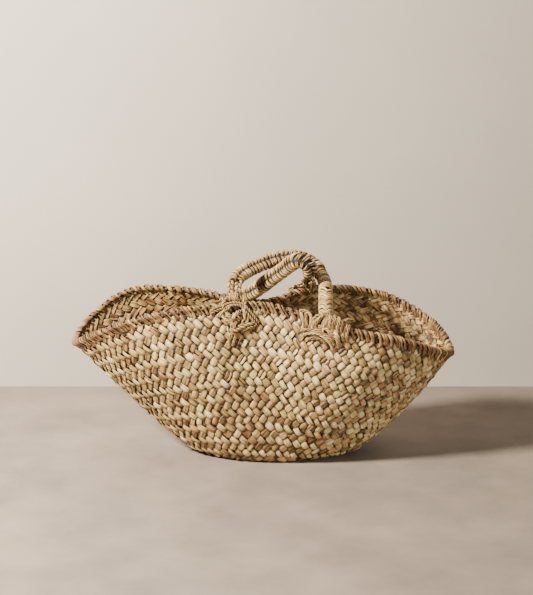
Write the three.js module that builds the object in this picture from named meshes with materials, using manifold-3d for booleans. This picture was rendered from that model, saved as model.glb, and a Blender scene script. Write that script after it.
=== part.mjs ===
// A palm leaf market basket. One long plait of leaf strips is wound round an oval centre and sewn
// edge to edge, so the body is a stack of turns with a sewing cord between each pair. A cord edges
// the mouth. Two wound rope handles stand on it, and each foot turns on a tie through its eye.
import * as THREE from 'three';
import { mergeVertices } from 'three/addons/utils/BufferGeometryUtils.js';
import Module from 'manifold-3d';

const wasm = await Module();
wasm.setup();

// Driving dimensions, in millimetres. X runs along the basket, Y to its back, Z up from the floor.

// The gap kept between pieces that touch
const touchGap = 0.3;

// The plait and its sewing. Leaf rows that lean one way stand proud of the rows between them.
const plaitThickness = 4.4;
const plaitEdgeThickness = 2.4;
const turnCount = 5;
const rowsPerTurn = 5;
const seamCordDiameter = 2;

// The base: the oval where the band starts, and the oval where the wall begins to turn up
const centreHalfLength = 62;
const centreHalfDepth = 25;
const baseHalfLength = 103;
const baseHalfDepth = 62;
const cornerReach = 18;

// The wall leaves the base flat, swells and meets the rim. Swell is measured square to the base
// oval, at the long sides and at the two tips.
const wallSlope = 0.4;
const sideSwell = 32;
const rightTipSwell = 18;
const leftTipSwell = 8;

// The middle of the rim cord, from the right tip along the back to the left tip and round
const rimStations = [
  [222, -15, 131], [204, 36, 155], [142, 70, 184], [55, 63, 194],
  [-20, 36, 181], [-108, 62, 191], [-189, 70, 189], [-241, 46, 157],
  [-256, 14, 135], [-233, -22, 151], [-179, -54, 178], [-103, -64, 197],
  [-9, -58, 200], [82, -88, 178], [148, -84, 164], [201, -52, 141],
];
const rimCordDiameter = 7.2;

// The rope of the handles: a laid core, bare at the legs and wound with flat cord between them
const coreDiameter = 14.4;
const legDiameter = 16.4;
const shortLegLength = 22;
const legLength = 36;
const longLegLength = 88;
const legTaper = 9;
const wrapWidth = 4.2;
const wrapThickness = 2.6;
const coreStep = 1;

// The feet: an eye in the end of each leg, and the tie that it turns on
const tieDiameter = 4;
const eyeClearance = 0.5;
const eyeWall = 3;
const eyeLength = 12;
const eyeGap = 1.2;
const tieReach = 13.4;
const tieDrop = 7;
const tieSlack = 1.6;

// How far the cords at a foot stand off the wall: more where it is hollow than where it bulges
const bulgeClearance = 0.6;
const hollowClearance = 1.4;

// The knots under the feet: flat coils of cord against the outside of the wall
const knotCordDiameter = 4.2;
const knotSpacing = 4.8;
const knotInnerRadius = 2.8;
const knotTurns = 2.25;
const knotDrop = 21;

// The lashing beside one foot, in place of a coil: a cord laid to and fro over the rim. Its two
// angles are measured round the rim, up from the outside of the basket.
const lashingCordDiameter = 3.6;
const lashingStart = 18;
const lashingPitch = 4.6;
const lashingPasses = 4;
const lashingLowAngle = -20;
const lashingHighAngle = 175;

// Where the feet stand, as shares of the way round the rim, and how far the handles lean from
// upright, towards the back for the front handle and towards the front for the back one
const frontFeet = [0.7225, 0.7968];
const backFeet = [0.265, 0.1985];
const frontLean = 64;
const backLean = -47;

// The middle of each rope between its feet, by hand: along the line of the feet from its middle,
// square to the handle's plane, and up the plane. The back handle comes through the front one.
const frontPath = [
  [-60.3, 0, 10.8], [-64.1, 0, 26.7], [-63.2, 2, 44.9], [-53.7, 3.5, 64.5], [-36.3, 2.5, 84],
  [-17, 2, 98.2], [1.5, 2.5, 103.2], [18.6, 4, 98], [32.6, 4.5, 85], [43.4, 3.5, 64.1], [49.6, 2.5, 38.9],
];
const backPath = [
  [-35.8, -6.3, 10.7], [-24.9, -11.5, 31], [-12.3, -14.2, 52.4], [0.5, -16.2, 71.9], [11.1, -19.6, 93.1],
  [15.4, -21.8, 98], [21.3, -25.3, 99], [26.2, -28.9, 95.6], [28.2, -31.1, 89.2], [29, -34.6, 68],
  [32.9, -30.4, 45.5], [36.7, -19.8, 22.9],
];

// From each foot, the leg and how far the rope stays unwound, and the loops between the two sides.
// The back handle is wound as far as its bend.
const stubLeg = { leg: shortLegLength, bare: shortLegLength };
const shortLeg = { leg: legLength, bare: legLength };
const longLeg = { leg: longLegLength, bare: longLegLength };
const legAndBend = { leg: longLegLength, bare: 128 };
const frontWinding = { left: shortLeg, right: longLeg, loops: 18 };
const backWinding = { left: stubLeg, right: legAndBend, loops: 9 };

// A small share of the way round, across which directions are taken
const nudge = 0.002;

// How finely the curves are drawn
const stepsRound = 56;
const profileSteps = 48;
const seamSides = 4;
const tieSides = 6;
const tieSteps = 24;
const rimSides = 8;
const ropeSides = 8;
const barStep = 10;
const wrapSides = 5;
const wrapStepsPerLoop = 12;
const knotSides = 5;
const knotStepsPerTurn = 14;
const lashingPassSteps = 8;
const lashingTurnSteps = 4;
const eyeSides = 16;

// Sizes that follow from the ones above
const seamHalfGap = seamCordDiameter / 2 + touchGap;
const rowRelief = (plaitThickness - plaitEdgeThickness) / 2;
const rimRadius = rimCordDiameter / 2;
const tieRadius = tieDiameter / 2;
const eyeBore = tieRadius + eyeClearance;
const eyeRadius = eyeBore + eyeWall;
const hingeHeight = rimRadius + eyeGap + eyeRadius;
const wrapSagitta = (coreDiameter / 2) * (1 - Math.cos(Math.PI / wrapStepsPerLoop));
const ropeRadius = coreDiameter / 2 + touchGap + wrapSagitta + wrapThickness;
const up = new THREE.Vector3(0, 0, 1);
const rimCurve = new THREE.CatmullRomCurve3(
  rimStations.map((station) => new THREE.Vector3(...station)), true, 'catmullrom', 0.5,
);

// Materials
const leafColours = ['#b79c6c', '#bda374', '#b39868', '#c0a778', '#b69b6b'];
function material(name, colour, roughness) {
  return new THREE.MeshStandardMaterial({ name, color: colour, roughness, metalness: 0 });
}

// Solids from sections
// Each section is a ring of points, and all have the same number. The path is closed on itself,
// or its two ends are closed by fans.
function solidFromSections(sections, closedPath) {
  const sides = sections[0].length;
  const positions = [];
  const index = [];
  for (const section of sections) {
    for (const point of section) {
      positions.push(point.x, point.y, point.z);
    }
  }
  const spans = closedPath ? sections.length : sections.length - 1;
  for (let i = 0; i < spans; i += 1) {
    const here = i * sides;
    const next = ((i + 1) % sections.length) * sides;
    for (let j = 0; j < sides; j += 1) {
      const k = (j + 1) % sides;
      index.push(here + j, next + j, next + k, here + j, next + k, here + k);
    }
  }
  if (!closedPath) {
    const last = (sections.length - 1) * sides;
    for (let j = 1; j < sides - 1; j += 1) {
      index.push(0, j, j + 1, last, last + j + 1, last + j);
    }
  }
  const geometry = new THREE.BufferGeometry();
  geometry.setAttribute('position', new THREE.Float32BufferAttribute(positions, 3));
  geometry.setIndex(index);
  return facingOut(geometry);
}

// Turns every face round where the solid came out inside out
function facingOut(geometry) {
  const position = geometry.getAttribute('position');
  const index = geometry.getIndex();
  const a = new THREE.Vector3();
  const b = new THREE.Vector3();
  const c = new THREE.Vector3();
  let volume = 0;
  for (let i = 0; i < index.count; i += 3) {
    a.fromBufferAttribute(position, index.getX(i));
    b.fromBufferAttribute(position, index.getX(i + 1));
    c.fromBufferAttribute(position, index.getX(i + 2));
    volume += a.dot(b.cross(c));
  }
  if (volume < 0) {
    const turned = Array.from(index.array);
    for (let i = 0; i < turned.length; i += 3) {
      [turned[i + 1], turned[i + 2]] = [turned[i + 2], turned[i + 1]];
    }
    geometry.setIndex(turned);
  }
  geometry.computeVertexNormals();
  return geometry;
}

// Directions along a row of points
function directions(points) {
  return points.map((point, i) => {
    const before = points[Math.max(i - 1, 0)];
    const after = points[Math.min(i + 1, points.length - 1)];
    return after.clone().sub(before).normalize();
  });
}

// A side direction carried along the points without twisting
function carriedSides(tangents, start) {
  const sides = [];
  let side = start.clone();
  for (const tangent of tangents) {
    side = side.clone().addScaledVector(tangent, -side.dot(tangent)).normalize();
    sides.push(side);
  }
  return sides;
}

// An oval section about a point, thick along side and wide along across
function ovalSection(centre, side, across, thick, wide, count) {
  const section = [];
  for (let j = 0; j < count; j += 1) {
    const angle = (2 * Math.PI * (j + 0.5)) / count;
    const point = centre.clone();
    point.addScaledVector(side, thick * Math.cos(angle));
    point.addScaledVector(across, wide * Math.sin(angle));
    section.push(point);
  }
  return section;
}

// A round cord along points, whose radius may change on the way
function cordSolid(points, radiusAt, count, start) {
  const tangents = directions(points);
  const sides = carriedSides(tangents, start);
  const sections = points.map((point, i) => {
    const across = tangents[i].clone().cross(sides[i]);
    const radius = radiusAt(i);
    return ovalSection(point, sides[i], across, radius, radius, count);
  });
  return solidFromSections(sections, false);
}

// Joins and cuts
function toSolid(geometry) {
  const bare = geometry.clone();
  bare.deleteAttribute('normal');
  bare.deleteAttribute('uv');
  const merged = mergeVertices(bare, 1e-4);
  const vertProperties = new Float32Array(merged.getAttribute('position').array);
  const triVerts = new Uint32Array(merged.getIndex().array);
  return new wasm.Manifold(new wasm.Mesh({ numProp: 3, vertProperties, triVerts }));
}

function toGeometry(solid) {
  const mesh = solid.getMesh();
  const geometry = new THREE.BufferGeometry();
  geometry.setAttribute('position', new THREE.BufferAttribute(new Float32Array(mesh.vertProperties), 3));
  geometry.setIndex(new THREE.BufferAttribute(new Uint32Array(mesh.triVerts), 1));
  geometry.computeVertexNormals();
  return geometry;
}

// The wall as a surface
// A profile runs from the centre oval out over the base and up the wall to the rim cord's middle,
// for one place round the basket.
function swell(angle) {
  const side = Math.sin(angle) ** 2;
  const tip = Math.cos(angle) > 0 ? rightTipSwell : leftTipSwell;
  return sideSwell * side + tip * (1 - side);
}

function makeProfile(around) {
  const angle = 2 * Math.PI * around;
  const height = plaitThickness / 2;
  const cos = Math.cos(angle);
  const sin = Math.sin(angle);
  const centre = new THREE.Vector3(centreHalfLength * cos, centreHalfDepth * sin, height);
  const edge = new THREE.Vector3(baseHalfLength * cos, baseHalfDepth * sin, height);
  const outward = new THREE.Vector3(cos / baseHalfLength, sin / baseHalfDepth, 0).normalize();
  const rim = rimCurve.getPoint(((around % 1) + 1) % 1);
  const corner = edge.clone().addScaledVector(outward, cornerReach);
  const shoulder = rim.clone().lerp(edge, wallSlope).addScaledVector(outward, swell(angle));
  const wall = new THREE.CubicBezierCurve3(edge, corner, shoulder, rim);
  const points = [centre, ...wall.getPoints(profileSteps)];
  const lengths = [0];
  for (let i = 1; i < points.length; i += 1) {
    lengths.push(lengths[i - 1] + points[i].distanceTo(points[i - 1]));
  }
  return { points, lengths, total: lengths[lengths.length - 1] };
}

const profiles = new Map();
function profileAt(around) {
  if (!profiles.has(around)) {
    profiles.set(around, makeProfile(around));
  }
  return profiles.get(around);
}

// The point a distance up the profile, on the middle of the plait
function pointUp(profile, distance) {
  const { points, lengths } = profile;
  let i = 1;
  while (i < points.length - 1 && lengths[i] < distance) {
    i += 1;
  }
  const share = (distance - lengths[i - 1]) / (lengths[i] - lengths[i - 1]);
  return points[i - 1].clone().lerp(points[i], share);
}

// The same point moved out of the wall's face. A share of the profile's length holds the place
// while the neighbours on both sides give the direction of the face.
function pointOnWall(around, distance, offset) {
  const profile = profileAt(around);
  const reach = 1;
  const share = distance / profile.total;
  const left = profileAt(around - nudge);
  const right = profileAt(around + nudge);
  const along = pointUp(right, share * right.total).sub(pointUp(left, share * left.total));
  const upward = pointUp(profile, distance + reach).sub(pointUp(profile, distance - reach));
  const face = along.cross(upward).normalize();
  return pointUp(profile, distance).addScaledVector(face, offset);
}

function shareRound(i) {
  return i / stepsRound;
}

function seamDistance(turn, around) {
  return (profileAt(around).total * turn) / turnCount;
}

// The body
// One turn of the plait: full thickness in every second row of leaves, thinner in the rows between
// and along its sewn edges. The rows alternate on from one turn to the next.
function plaitTurn(turn) {
  const isTop = turn === turnCount - 1;
  const sections = [];
  for (let i = 0; i < stepsRound; i += 1) {
    const around = shareRound(i);
    const from = seamDistance(turn, around) + seamHalfGap;
    const topGap = isTop ? rimRadius + touchGap : seamHalfGap;
    const to = seamDistance(turn + 1, around) - topGap;
    const outer = [];
    const inner = [];
    for (let row = 0; row <= rowsPerTurn + 1; row += 1) {
      const isEdge = row === 0 || row > rowsPerTurn;
      const isProud = !isEdge && (turn * rowsPerTurn + row) % 2 === 0;
      const half = (isProud ? plaitThickness : plaitEdgeThickness) / 2;
      const share = THREE.MathUtils.clamp((row - 0.5) / rowsPerTurn, 0, 1);
      const distance = from + (to - from) * share;
      outer.push(pointOnWall(around, distance, half));
      inner.unshift(pointOnWall(around, distance, -half));
    }
    sections.push([...outer, ...inner]);
  }
  return solidFromSections(sections, true);
}

// The oval where the band starts, with a flat underside
function baseCentre() {
  const edgeInset = 3;
  const loops = [
    { inset: seamHalfGap + edgeInset, height: 0 },
    { inset: seamHalfGap, height: rowRelief },
    { inset: seamHalfGap, height: plaitThickness - rowRelief },
    { inset: seamHalfGap + edgeInset, height: plaitThickness },
  ];
  const rings = loops.map(({ inset, height }) => {
    const ring = [];
    for (let i = 0; i < stepsRound; i += 1) {
      const profile = profileAt(shareRound(i));
      const inward = profile.points[0].clone().sub(profile.points[1]).setZ(0).normalize();
      const point = profile.points[0].clone().addScaledVector(inward, inset);
      ring.push(point.setZ(height));
    }
    return ring;
  });
  return solidFromSections(rings, false);
}

// A sewing cord in the seam under a turn
function seamCord(turn) {
  const sections = [];
  const radius = seamCordDiameter / 2;
  for (let i = 0; i < stepsRound; i += 1) {
    const around = shareRound(i);
    const distance = seamDistance(turn, around) + touchGap / 2;
    const centre = pointOnWall(around, distance, 0);
    const side = pointOnWall(around, distance, radius).sub(centre).normalize();
    const forward = pointOnWall(around, distance + radius, 0).sub(centre).normalize();
    sections.push(ovalSection(centre, side, forward, radius, radius, seamSides));
  }
  return solidFromSections(sections, true);
}

// The cord that edges the mouth
function rimCord() {
  const sections = [];
  for (let i = 0; i < stepsRound; i += 1) {
    const around = shareRound(i);
    const { total } = profileAt(around);
    const centre = rimCurve.getPoint(around);
    const face = pointOnWall(around, total - 1, 1).sub(pointOnWall(around, total - 1, 0));
    const upward = centre.clone().sub(pointOnWall(around, total - 2, 0)).normalize();
    sections.push(ovalSection(centre, face.normalize(), upward, rimRadius, rimRadius, rimSides));
  }
  return solidFromSections(sections, true);
}

// The handles
// Each handle has a group of its own, with X along the line of its feet and Z up its plane
function hingePoint(around) {
  return rimCurve.getPoint(around).addScaledVector(up, hingeHeight);
}

function handleGroup(feet, leanDegrees) {
  const left = hingePoint(feet[0]);
  const right = hingePoint(feet[1]);
  const along = right.clone().sub(left).normalize();
  const lean = THREE.MathUtils.degToRad(leanDegrees);
  const plane = new THREE.Vector3(0, Math.sin(lean), Math.cos(lean));
  plane.addScaledVector(along, -plane.dot(along)).normalize();
  const square = plane.clone().cross(along);
  const group = new THREE.Group();
  group.position.copy(left).add(right).multiplyScalar(0.5);
  group.quaternion.setFromRotationMatrix(new THREE.Matrix4().makeBasis(along, square, plane));
  return { group, halfSpan: left.distanceTo(right) / 2 };
}

function ropeCurve(path, halfSpan) {
  const points = [[-halfSpan, 0, 0], ...path, [halfSpan, 0, 0]];
  return new THREE.CatmullRomCurve3(points.map((point) => new THREE.Vector3(...point)));
}

// The core's radius by distance from a foot: slim at the eye, full in the leg, as thick as the wound
// rope where the bare stretch runs past the leg, and stepped down under the winding
function coreRadius(distance, { leg, bare }) {
  const legRadius = legDiameter / 2;
  const stops = [[0, eyeRadius - touchGap], [eyeRadius * 3, legRadius], [leg, legRadius]];
  if (bare > leg + legTaper) {
    stops.push([leg + legTaper, ropeRadius], [bare, ropeRadius]);
  }
  stops.push([bare + coreStep, coreDiameter / 2]);
  for (let i = 1; i < stops.length; i += 1) {
    const [from, fromRadius] = stops[i - 1];
    const [to, toRadius] = stops[i];
    if (distance <= to) {
      return THREE.MathUtils.mapLinear(Math.max(distance, from), from, to, fromRadius, toRadius);
    }
  }
  return coreDiameter / 2;
}

function eyeCylinder(x, radius, length) {
  const cylinder = new THREE.CylinderGeometry(radius, radius, length, eyeSides);
  cylinder.rotateZ(Math.PI / 2);
  cylinder.translate(x, 0, 0);
  return toSolid(cylinder);
}

// Distances between two ends, without the ends
function evenly(from, to) {
  const count = Math.ceil((to - from) / barStep);
  const between = [];
  for (let i = 1; i < count; i += 1) {
    between.push(from + ((to - from) * i) / count);
  }
  return between;
}

function handleCore(curve, halfSpan, winding) {
  const length = curve.getLength();
  const woundFrom = winding.left.bare;
  const woundTo = length - winding.right.bare;
  const legFrom = eyeRadius * 3;
  const stops = [
    0, eyeRadius, eyeRadius * 2, legFrom, ...evenly(legFrom, woundFrom), woundFrom,
    woundFrom + coreStep, ...evenly(woundFrom + coreStep, woundTo - coreStep), woundTo - coreStep,
    woundTo, ...evenly(woundTo, length - legFrom), length - legFrom, length - eyeRadius * 2,
    length - eyeRadius, length,
  ];
  const points = stops.map((stop) => curve.getPointAt(stop / length));
  const radiusAt = (i) => Math.min(
    coreRadius(stops[i], winding.left), coreRadius(length - stops[i], winding.right),
  );
  let solid = toSolid(cordSolid(points, radiusAt, ropeSides, new THREE.Vector3(1, 0, 0)));
  for (const x of [-halfSpan, halfSpan]) {
    solid = solid.add(eyeCylinder(x, eyeRadius, eyeLength));
  }
  for (const x of [-halfSpan, halfSpan]) {
    solid = solid.subtract(eyeCylinder(x, eyeBore, eyeLength * 4));
  }
  return toGeometry(solid);
}

// The flat cord wound round the core between the legs, as one unbroken strand
function handleWrap(curve, winding, name) {
  const length = curve.getLength();
  const radius = ropeRadius - wrapThickness / 2;
  const endRoom = coreStep + touchGap + wrapWidth / 2;
  const start = winding.left.bare + endRoom;
  const run = length - start - winding.right.bare - endRoom;
  const count = winding.loops * wrapStepsPerLoop;
  const axis = [];
  for (let i = 0; i <= count; i += 1) {
    axis.push(curve.getPointAt((start + (run * i) / count) / length));
  }
  const tangents = directions(axis);
  const sides = carriedSides(tangents, new THREE.Vector3(0, 1, 0));
  const outwards = axis.map((point, i) => {
    const across = tangents[i].clone().cross(sides[i]);
    const angle = (2 * Math.PI * i) / wrapStepsPerLoop;
    return sides[i].clone().multiplyScalar(Math.cos(angle)).addScaledVector(across, Math.sin(angle));
  });
  const centres = axis.map((point, i) => point.clone().addScaledVector(outwards[i], radius));
  for (const end of [0, count]) {
    const inner = end === 0 ? 1 : count - 1;
    const straight = centres[end].clone().sub(centres[inner]).setLength(wrapWidth);
    const tip = centres[end].clone().add(straight);
    const spot = end === 0 ? 0 : centres.length;
    centres.splice(spot, 0, tip);
    outwards.splice(spot, 0, outwards[end === 0 ? 0 : outwards.length - 1]);
  }
  const headings = directions(centres);
  const sections = centres.map((centre, i) => {
    const across = headings[i].clone().cross(outwards[i]).normalize();
    return ovalSection(centre, outwards[i], across, wrapThickness / 2, wrapWidth / 2, wrapSides);
  });
  printLeastGap(name, centres, outwards, headings);
  return solidFromSections(sections, false);
}

// The least gap of a winding to itself, between points more than half a loop apart
function printLeastGap(name, centres, outwards, headings) {
  const apart = wrapStepsPerLoop / 2 + 1;
  let least = Infinity;
  const reach = (i, direction) => {
    const across = headings[i].clone().cross(outwards[i]).normalize();
    const thick = (wrapThickness / 2) * direction.dot(outwards[i]);
    const wide = (wrapWidth / 2) * direction.dot(across);
    return Math.hypot(thick, wide);
  };
  for (let i = 0; i < centres.length; i += 1) {
    for (let j = i + apart; j < centres.length; j += 1) {
      const between = centres[j].clone().sub(centres[i]);
      const distance = between.length();
      if (distance < 3 * wrapWidth) {
        between.normalize();
        least = Math.min(least, distance - reach(i, between) - reach(j, between));
      }
    }
  }
  console.log(`${name}: least gap to itself ${least.toFixed(2)} mm`);
}

// The feet
// The rim's run at a foot: along the line of the feet, out of the basket, and up
function footFrame({ feet, outSign, clearances }, which) {
  const at = feet[which];
  const along = hingePoint(feet[1]).sub(hingePoint(feet[0])).normalize();
  const out = new THREE.Vector3(0, outSign, 0);
  out.addScaledVector(along, -out.dot(along)).normalize();
  const lift = along.clone().cross(out).normalize();
  if (lift.z < 0) {
    lift.negate();
  }
  const rimSpeed = rimCurve.getPoint(at + nudge).distanceTo(rimCurve.getPoint(at - nudge)) / (2 * nudge);
  const direction = outSign > 0 ? -1 : 1;
  const clearance = clearances[which];
  return { at, along, out, lift, direction, rimSpeed, clearance, hinge: hingePoint(at) };
}

// A place on the crests of the wall's outer face near a foot, by the distance along the rim and
// down the wall
function nearFoot(foot, sideways, drop, offset) {
  const around = foot.at + (foot.direction * sideways) / foot.rimSpeed;
  return pointOnWall(around, profileAt(around).total - drop, plaitThickness / 2 + offset);
}

// A place round the rim cord near a foot, by the distance along the rim and the angle up from the
// outside of the basket
function roundRim(foot, sideways, radius, angleDegrees) {
  const around = foot.at + (foot.direction * sideways) / foot.rimSpeed;
  const angle = THREE.MathUtils.degToRad(angleDegrees);
  const point = rimCurve.getPoint(around);
  const ahead = rimCurve.getPoint(around + nudge).sub(rimCurve.getPoint(around - nudge)).normalize();
  const out = foot.out.clone().addScaledVector(ahead, -foot.out.dot(ahead)).normalize();
  const lift = foot.lift.clone().addScaledVector(ahead, -foot.lift.dot(ahead));
  lift.addScaledVector(out, -lift.dot(out)).normalize();
  point.addScaledVector(out, radius * Math.cos(angle));
  return point.addScaledVector(lift, radius * Math.sin(angle));
}

// The tie: straight through the eye, over the rim on both sides and into the wall below it
function footTie(foot) {
  const overRim = rimRadius + tieRadius + tieSlack;
  const eyeFace = eyeLength / 2;
  const half = (sign) => [
    nearFoot(foot, sign * tieReach, tieDrop, foot.clearance - rowRelief),
    nearFoot(foot, sign * tieReach, tieDrop, tieDiameter),
    roundRim(foot, sign * tieReach, overRim, 0),
    roundRim(foot, sign * tieReach, overRim, 45),
    besideEye(foot, sign * (eyeFace + tieRadius)),
    besideEye(foot, sign * eyeFace),
  ];
  const points = [...half(-1), ...half(1).reverse()];
  const curve = new THREE.CatmullRomCurve3(points);
  return cordSolid(curve.getPoints(tieSteps), () => tieRadius, tieSides, foot.lift);
}

function besideEye(foot, along) {
  return foot.hinge.clone().addScaledVector(foot.along, along);
}

// The knot: a flat coil on the wall
function footKnot(foot) {
  const count = Math.round(knotTurns * knotStepsPerTurn);
  const points = [];
  for (let i = 0; i <= count; i += 1) {
    const turn = i / knotStepsPerTurn;
    const radius = knotInnerRadius + knotSpacing * turn;
    const angle = 2 * Math.PI * turn;
    const sideways = radius * Math.cos(angle);
    const drop = knotDrop - radius * Math.sin(angle);
    points.push(nearFoot(foot, sideways, drop, foot.clearance + knotCordDiameter / 2));
  }
  return cordSolid(points, () => knotCordDiameter / 2, knotSides, foot.out);
}

// The lashing: straight passes over the rim, joined by half circles at their ends
function rimLashing(foot) {
  const radius = rimRadius + touchGap * 3 + lashingCordDiameter / 2;
  const turnRadius = lashingPitch / 2;
  const points = [];
  for (let pass = 0; pass < lashingPasses; pass += 1) {
    const inward = pass % 2 === 0;
    const from = inward ? lashingLowAngle : lashingHighAngle;
    const to = inward ? lashingHighAngle : lashingLowAngle;
    const sideways = lashingStart + pass * lashingPitch;
    for (let i = 0; i <= lashingPassSteps; i += 1) {
      const angle = THREE.MathUtils.lerp(from, to, i / lashingPassSteps);
      points.push(roundRim(foot, sideways, radius, angle));
    }
    for (let i = 1; i < lashingTurnSteps && pass < lashingPasses - 1; i += 1) {
      const turned = (Math.PI * i) / lashingTurnSteps;
      const past = THREE.MathUtils.radToDeg((turnRadius * Math.sin(turned)) / radius);
      const across = turnRadius * (1 - Math.cos(turned));
      points.push(roundRim(foot, sideways + across, radius, to + (inward ? past : -past)));
    }
  }
  return cordSolid(points, () => lashingCordDiameter / 2, knotSides, foot.out);
}

// The assembly
const basket = new THREE.Group();
basket.name = 'palm_leaf_basket';

function place(parent, name, geometry, finish) {
  const mesh = new THREE.Mesh(geometry, finish);
  mesh.name = name;
  parent.add(mesh);
}

place(basket, 'base_plait_centre', baseCentre(), material('leaf_centre', '#b39868', 0.85));
for (let turn = 0; turn < turnCount; turn += 1) {
  const leaf = material(`leaf_turn_${turn + 1}`, leafColours[turn % leafColours.length], 0.85);
  place(basket, `plait_turn_${turn + 1}`, plaitTurn(turn), leaf);
  place(basket, `seam_cord_${turn + 1}`, seamCord(turn), material('seam_cord', '#9a7f50', 0.9));
}
place(basket, 'rim_cord', rimCord(), material('rim_cord', '#a98a58', 0.9));

const handles = [
  {
    name: 'front',
    feet: frontFeet,
    lean: frontLean,
    path: frontPath,
    winding: frontWinding,
    outSign: -1,
    clearances: [bulgeClearance, bulgeClearance],
    knots: { left: footKnot, right: rimLashing },
  },
  {
    name: 'back',
    feet: backFeet,
    lean: backLean,
    path: backPath,
    winding: backWinding,
    outSign: 1,
    clearances: [hollowClearance, bulgeClearance],
    knots: { left: footKnot, right: footKnot },
  },
];
for (const handle of handles) {
  const { name, feet, lean, path, winding, knots } = handle;
  const { group, halfSpan } = handleGroup(feet, lean);
  const curve = ropeCurve(path, halfSpan);
  const wrapName = `${name}_handle_wrap`;
  place(group, `${name}_handle_core`, handleCore(curve, halfSpan, winding), material('rope', '#a88752', 0.9));
  place(group, wrapName, handleWrap(curve, winding, wrapName), material('wrap', '#c2a26a', 0.85));
  basket.add(group);
  for (const [which, side] of ['left', 'right'].entries()) {
    const foot = footFrame(handle, which);
    place(basket, `${name}_${side}_tie`, footTie(foot), material('tie', '#c4a771', 0.85));
    place(basket, `${name}_${side}_knot`, knots[side](foot), material('knot', '#b8975f', 0.85));
  }
}

export default basket;
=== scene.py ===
"""A palm leaf basket: its woven, wound and knotted pieces, their finishes, the stage and the camera."""
import logging
import math
from dataclasses import dataclass, field
from enum import Enum

import bpy
import numpy as np
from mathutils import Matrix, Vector


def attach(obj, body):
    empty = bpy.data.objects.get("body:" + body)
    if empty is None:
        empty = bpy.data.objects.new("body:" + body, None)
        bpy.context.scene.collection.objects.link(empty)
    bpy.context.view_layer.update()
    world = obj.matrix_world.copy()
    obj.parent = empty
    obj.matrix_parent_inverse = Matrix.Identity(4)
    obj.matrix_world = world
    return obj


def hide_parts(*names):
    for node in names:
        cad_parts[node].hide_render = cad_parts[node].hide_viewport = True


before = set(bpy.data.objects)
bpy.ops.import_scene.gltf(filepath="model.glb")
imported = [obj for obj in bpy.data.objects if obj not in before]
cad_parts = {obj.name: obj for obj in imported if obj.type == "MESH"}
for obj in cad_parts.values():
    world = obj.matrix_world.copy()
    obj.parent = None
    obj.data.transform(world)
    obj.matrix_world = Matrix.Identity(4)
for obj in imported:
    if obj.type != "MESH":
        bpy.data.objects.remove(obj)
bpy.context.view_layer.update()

LOG = logging.getLogger("basket")
MM = 0.001
UP = np.array([0.0, 0.0, 1.0])

Array = np.ndarray

RIM_NUDGE = 0.002  # a small share of the way round, across which the rim's direction is taken
TINT_SCATTER = 977.0  # spreads the tones, so that near ones draw different tints
GRAIN_HEIGHT = 0.0006  # how far the grain stands up, in metres
WHITE = (1.0, 1.0, 1.0)


class Slot(Enum):
    """The record's material slots."""

    LEAF = "palm_leaf"
    CORD = "palm_cord"
    ROPE = "palm_rope"


class Slant(Enum):
    """Which way a family of leaf strips leans, seen from outside."""

    RIGHT = 1
    LEFT = -1


def unit(vectors: Array) -> Array:
    """Vectors at length one."""
    length = np.linalg.norm(vectors, axis=-1, keepdims=True)
    return vectors / np.maximum(length, 1e-12)


def smooth(low: float, high: float, value: Array) -> Array:
    """A smooth step from 0 at low to 1 at high."""
    share = np.clip((value - low) / (high - low), 0.0, 1.0)
    return share * share * (3 - 2 * share)


def along_path(points: Array, distances: Array) -> Array:
    """Points at distances along a row of points.

    Args:
        points: the row, n by 3.
        distances: how far along it, in metres.

    Returns:
        One point for each distance.
    """
    steps = np.linalg.norm(np.diff(points, axis=0), axis=1)
    reach = np.concatenate([[0.0], np.cumsum(steps)])
    return np.stack([np.interp(distances, reach, points[:, k]) for k in range(3)], axis=-1)


def path_length(points: Array) -> float:
    """The length of a row of points."""
    return float(np.linalg.norm(np.diff(points, axis=0), axis=1).sum())


def swung(side: Array, across: Array, angle: Array) -> Array:
    """Directions turned from one axis towards another."""
    return side * np.cos(angle)[:, None] + across * np.sin(angle)[:, None]


def wandering(chance: np.random.Generator, at: Array, knots: Array, mean: float, spread: float) -> Array:
    """A value that wanders by chance, in straight runs between knots."""
    return np.interp(at, knots, chance.normal(mean, spread, len(knots)))


def cubic(start: Array, end: Array, leave: Array, arrive: Array, t: Array) -> Array:
    """A cubic between two points.

    Args:
        start: the first point.
        end: the last point.
        leave: the speed at the first.
        arrive: the speed at the last.
        t: where it is read, 0 to 1.

    Returns:
        The points at t.
    """
    square = (3 * (end - start) - 2 * leave - arrive) * t**2
    cube = (2 * (start - end) + leave + arrive) * t**3
    return start + leave * t + square + cube


def flowing(points: list, count: int) -> Array:
    """A centripetal curve through a few points.

    Args:
        points: the points that it passes, x, y, z each.
        count: how many points to give back.

    Returns:
        Points evenly spaced along the curve, count by 3.
    """
    p = [np.asarray(point, float) for point in points]
    p = [2 * p[0] - p[1], *p, 2 * p[-1] - p[-2]]
    share = np.linspace(0, 1, 24, endpoint=False)[:, None]
    spans = []
    for p0, p1, p2, p3 in zip(p, p[1:], p[2:], p[3:]):
        pairs = (p0, p1), (p1, p2), (p2, p3)
        d0, d1, d2 = (max(np.linalg.norm(b - a), 1e-9) ** 0.5 for a, b in pairs)
        t1 = ((p1 - p0) / d0 - (p2 - p0) / (d0 + d1) + (p2 - p1) / d1) * d1
        t2 = ((p2 - p1) / d1 - (p3 - p1) / (d1 + d2) + (p3 - p2) / d2) * d1
        spans.append(cubic(p1, p2, t1, t2, share))
    fine = np.vstack([*spans, p[-2][None]])
    return along_path(fine, np.linspace(0, path_length(fine), count))


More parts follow.
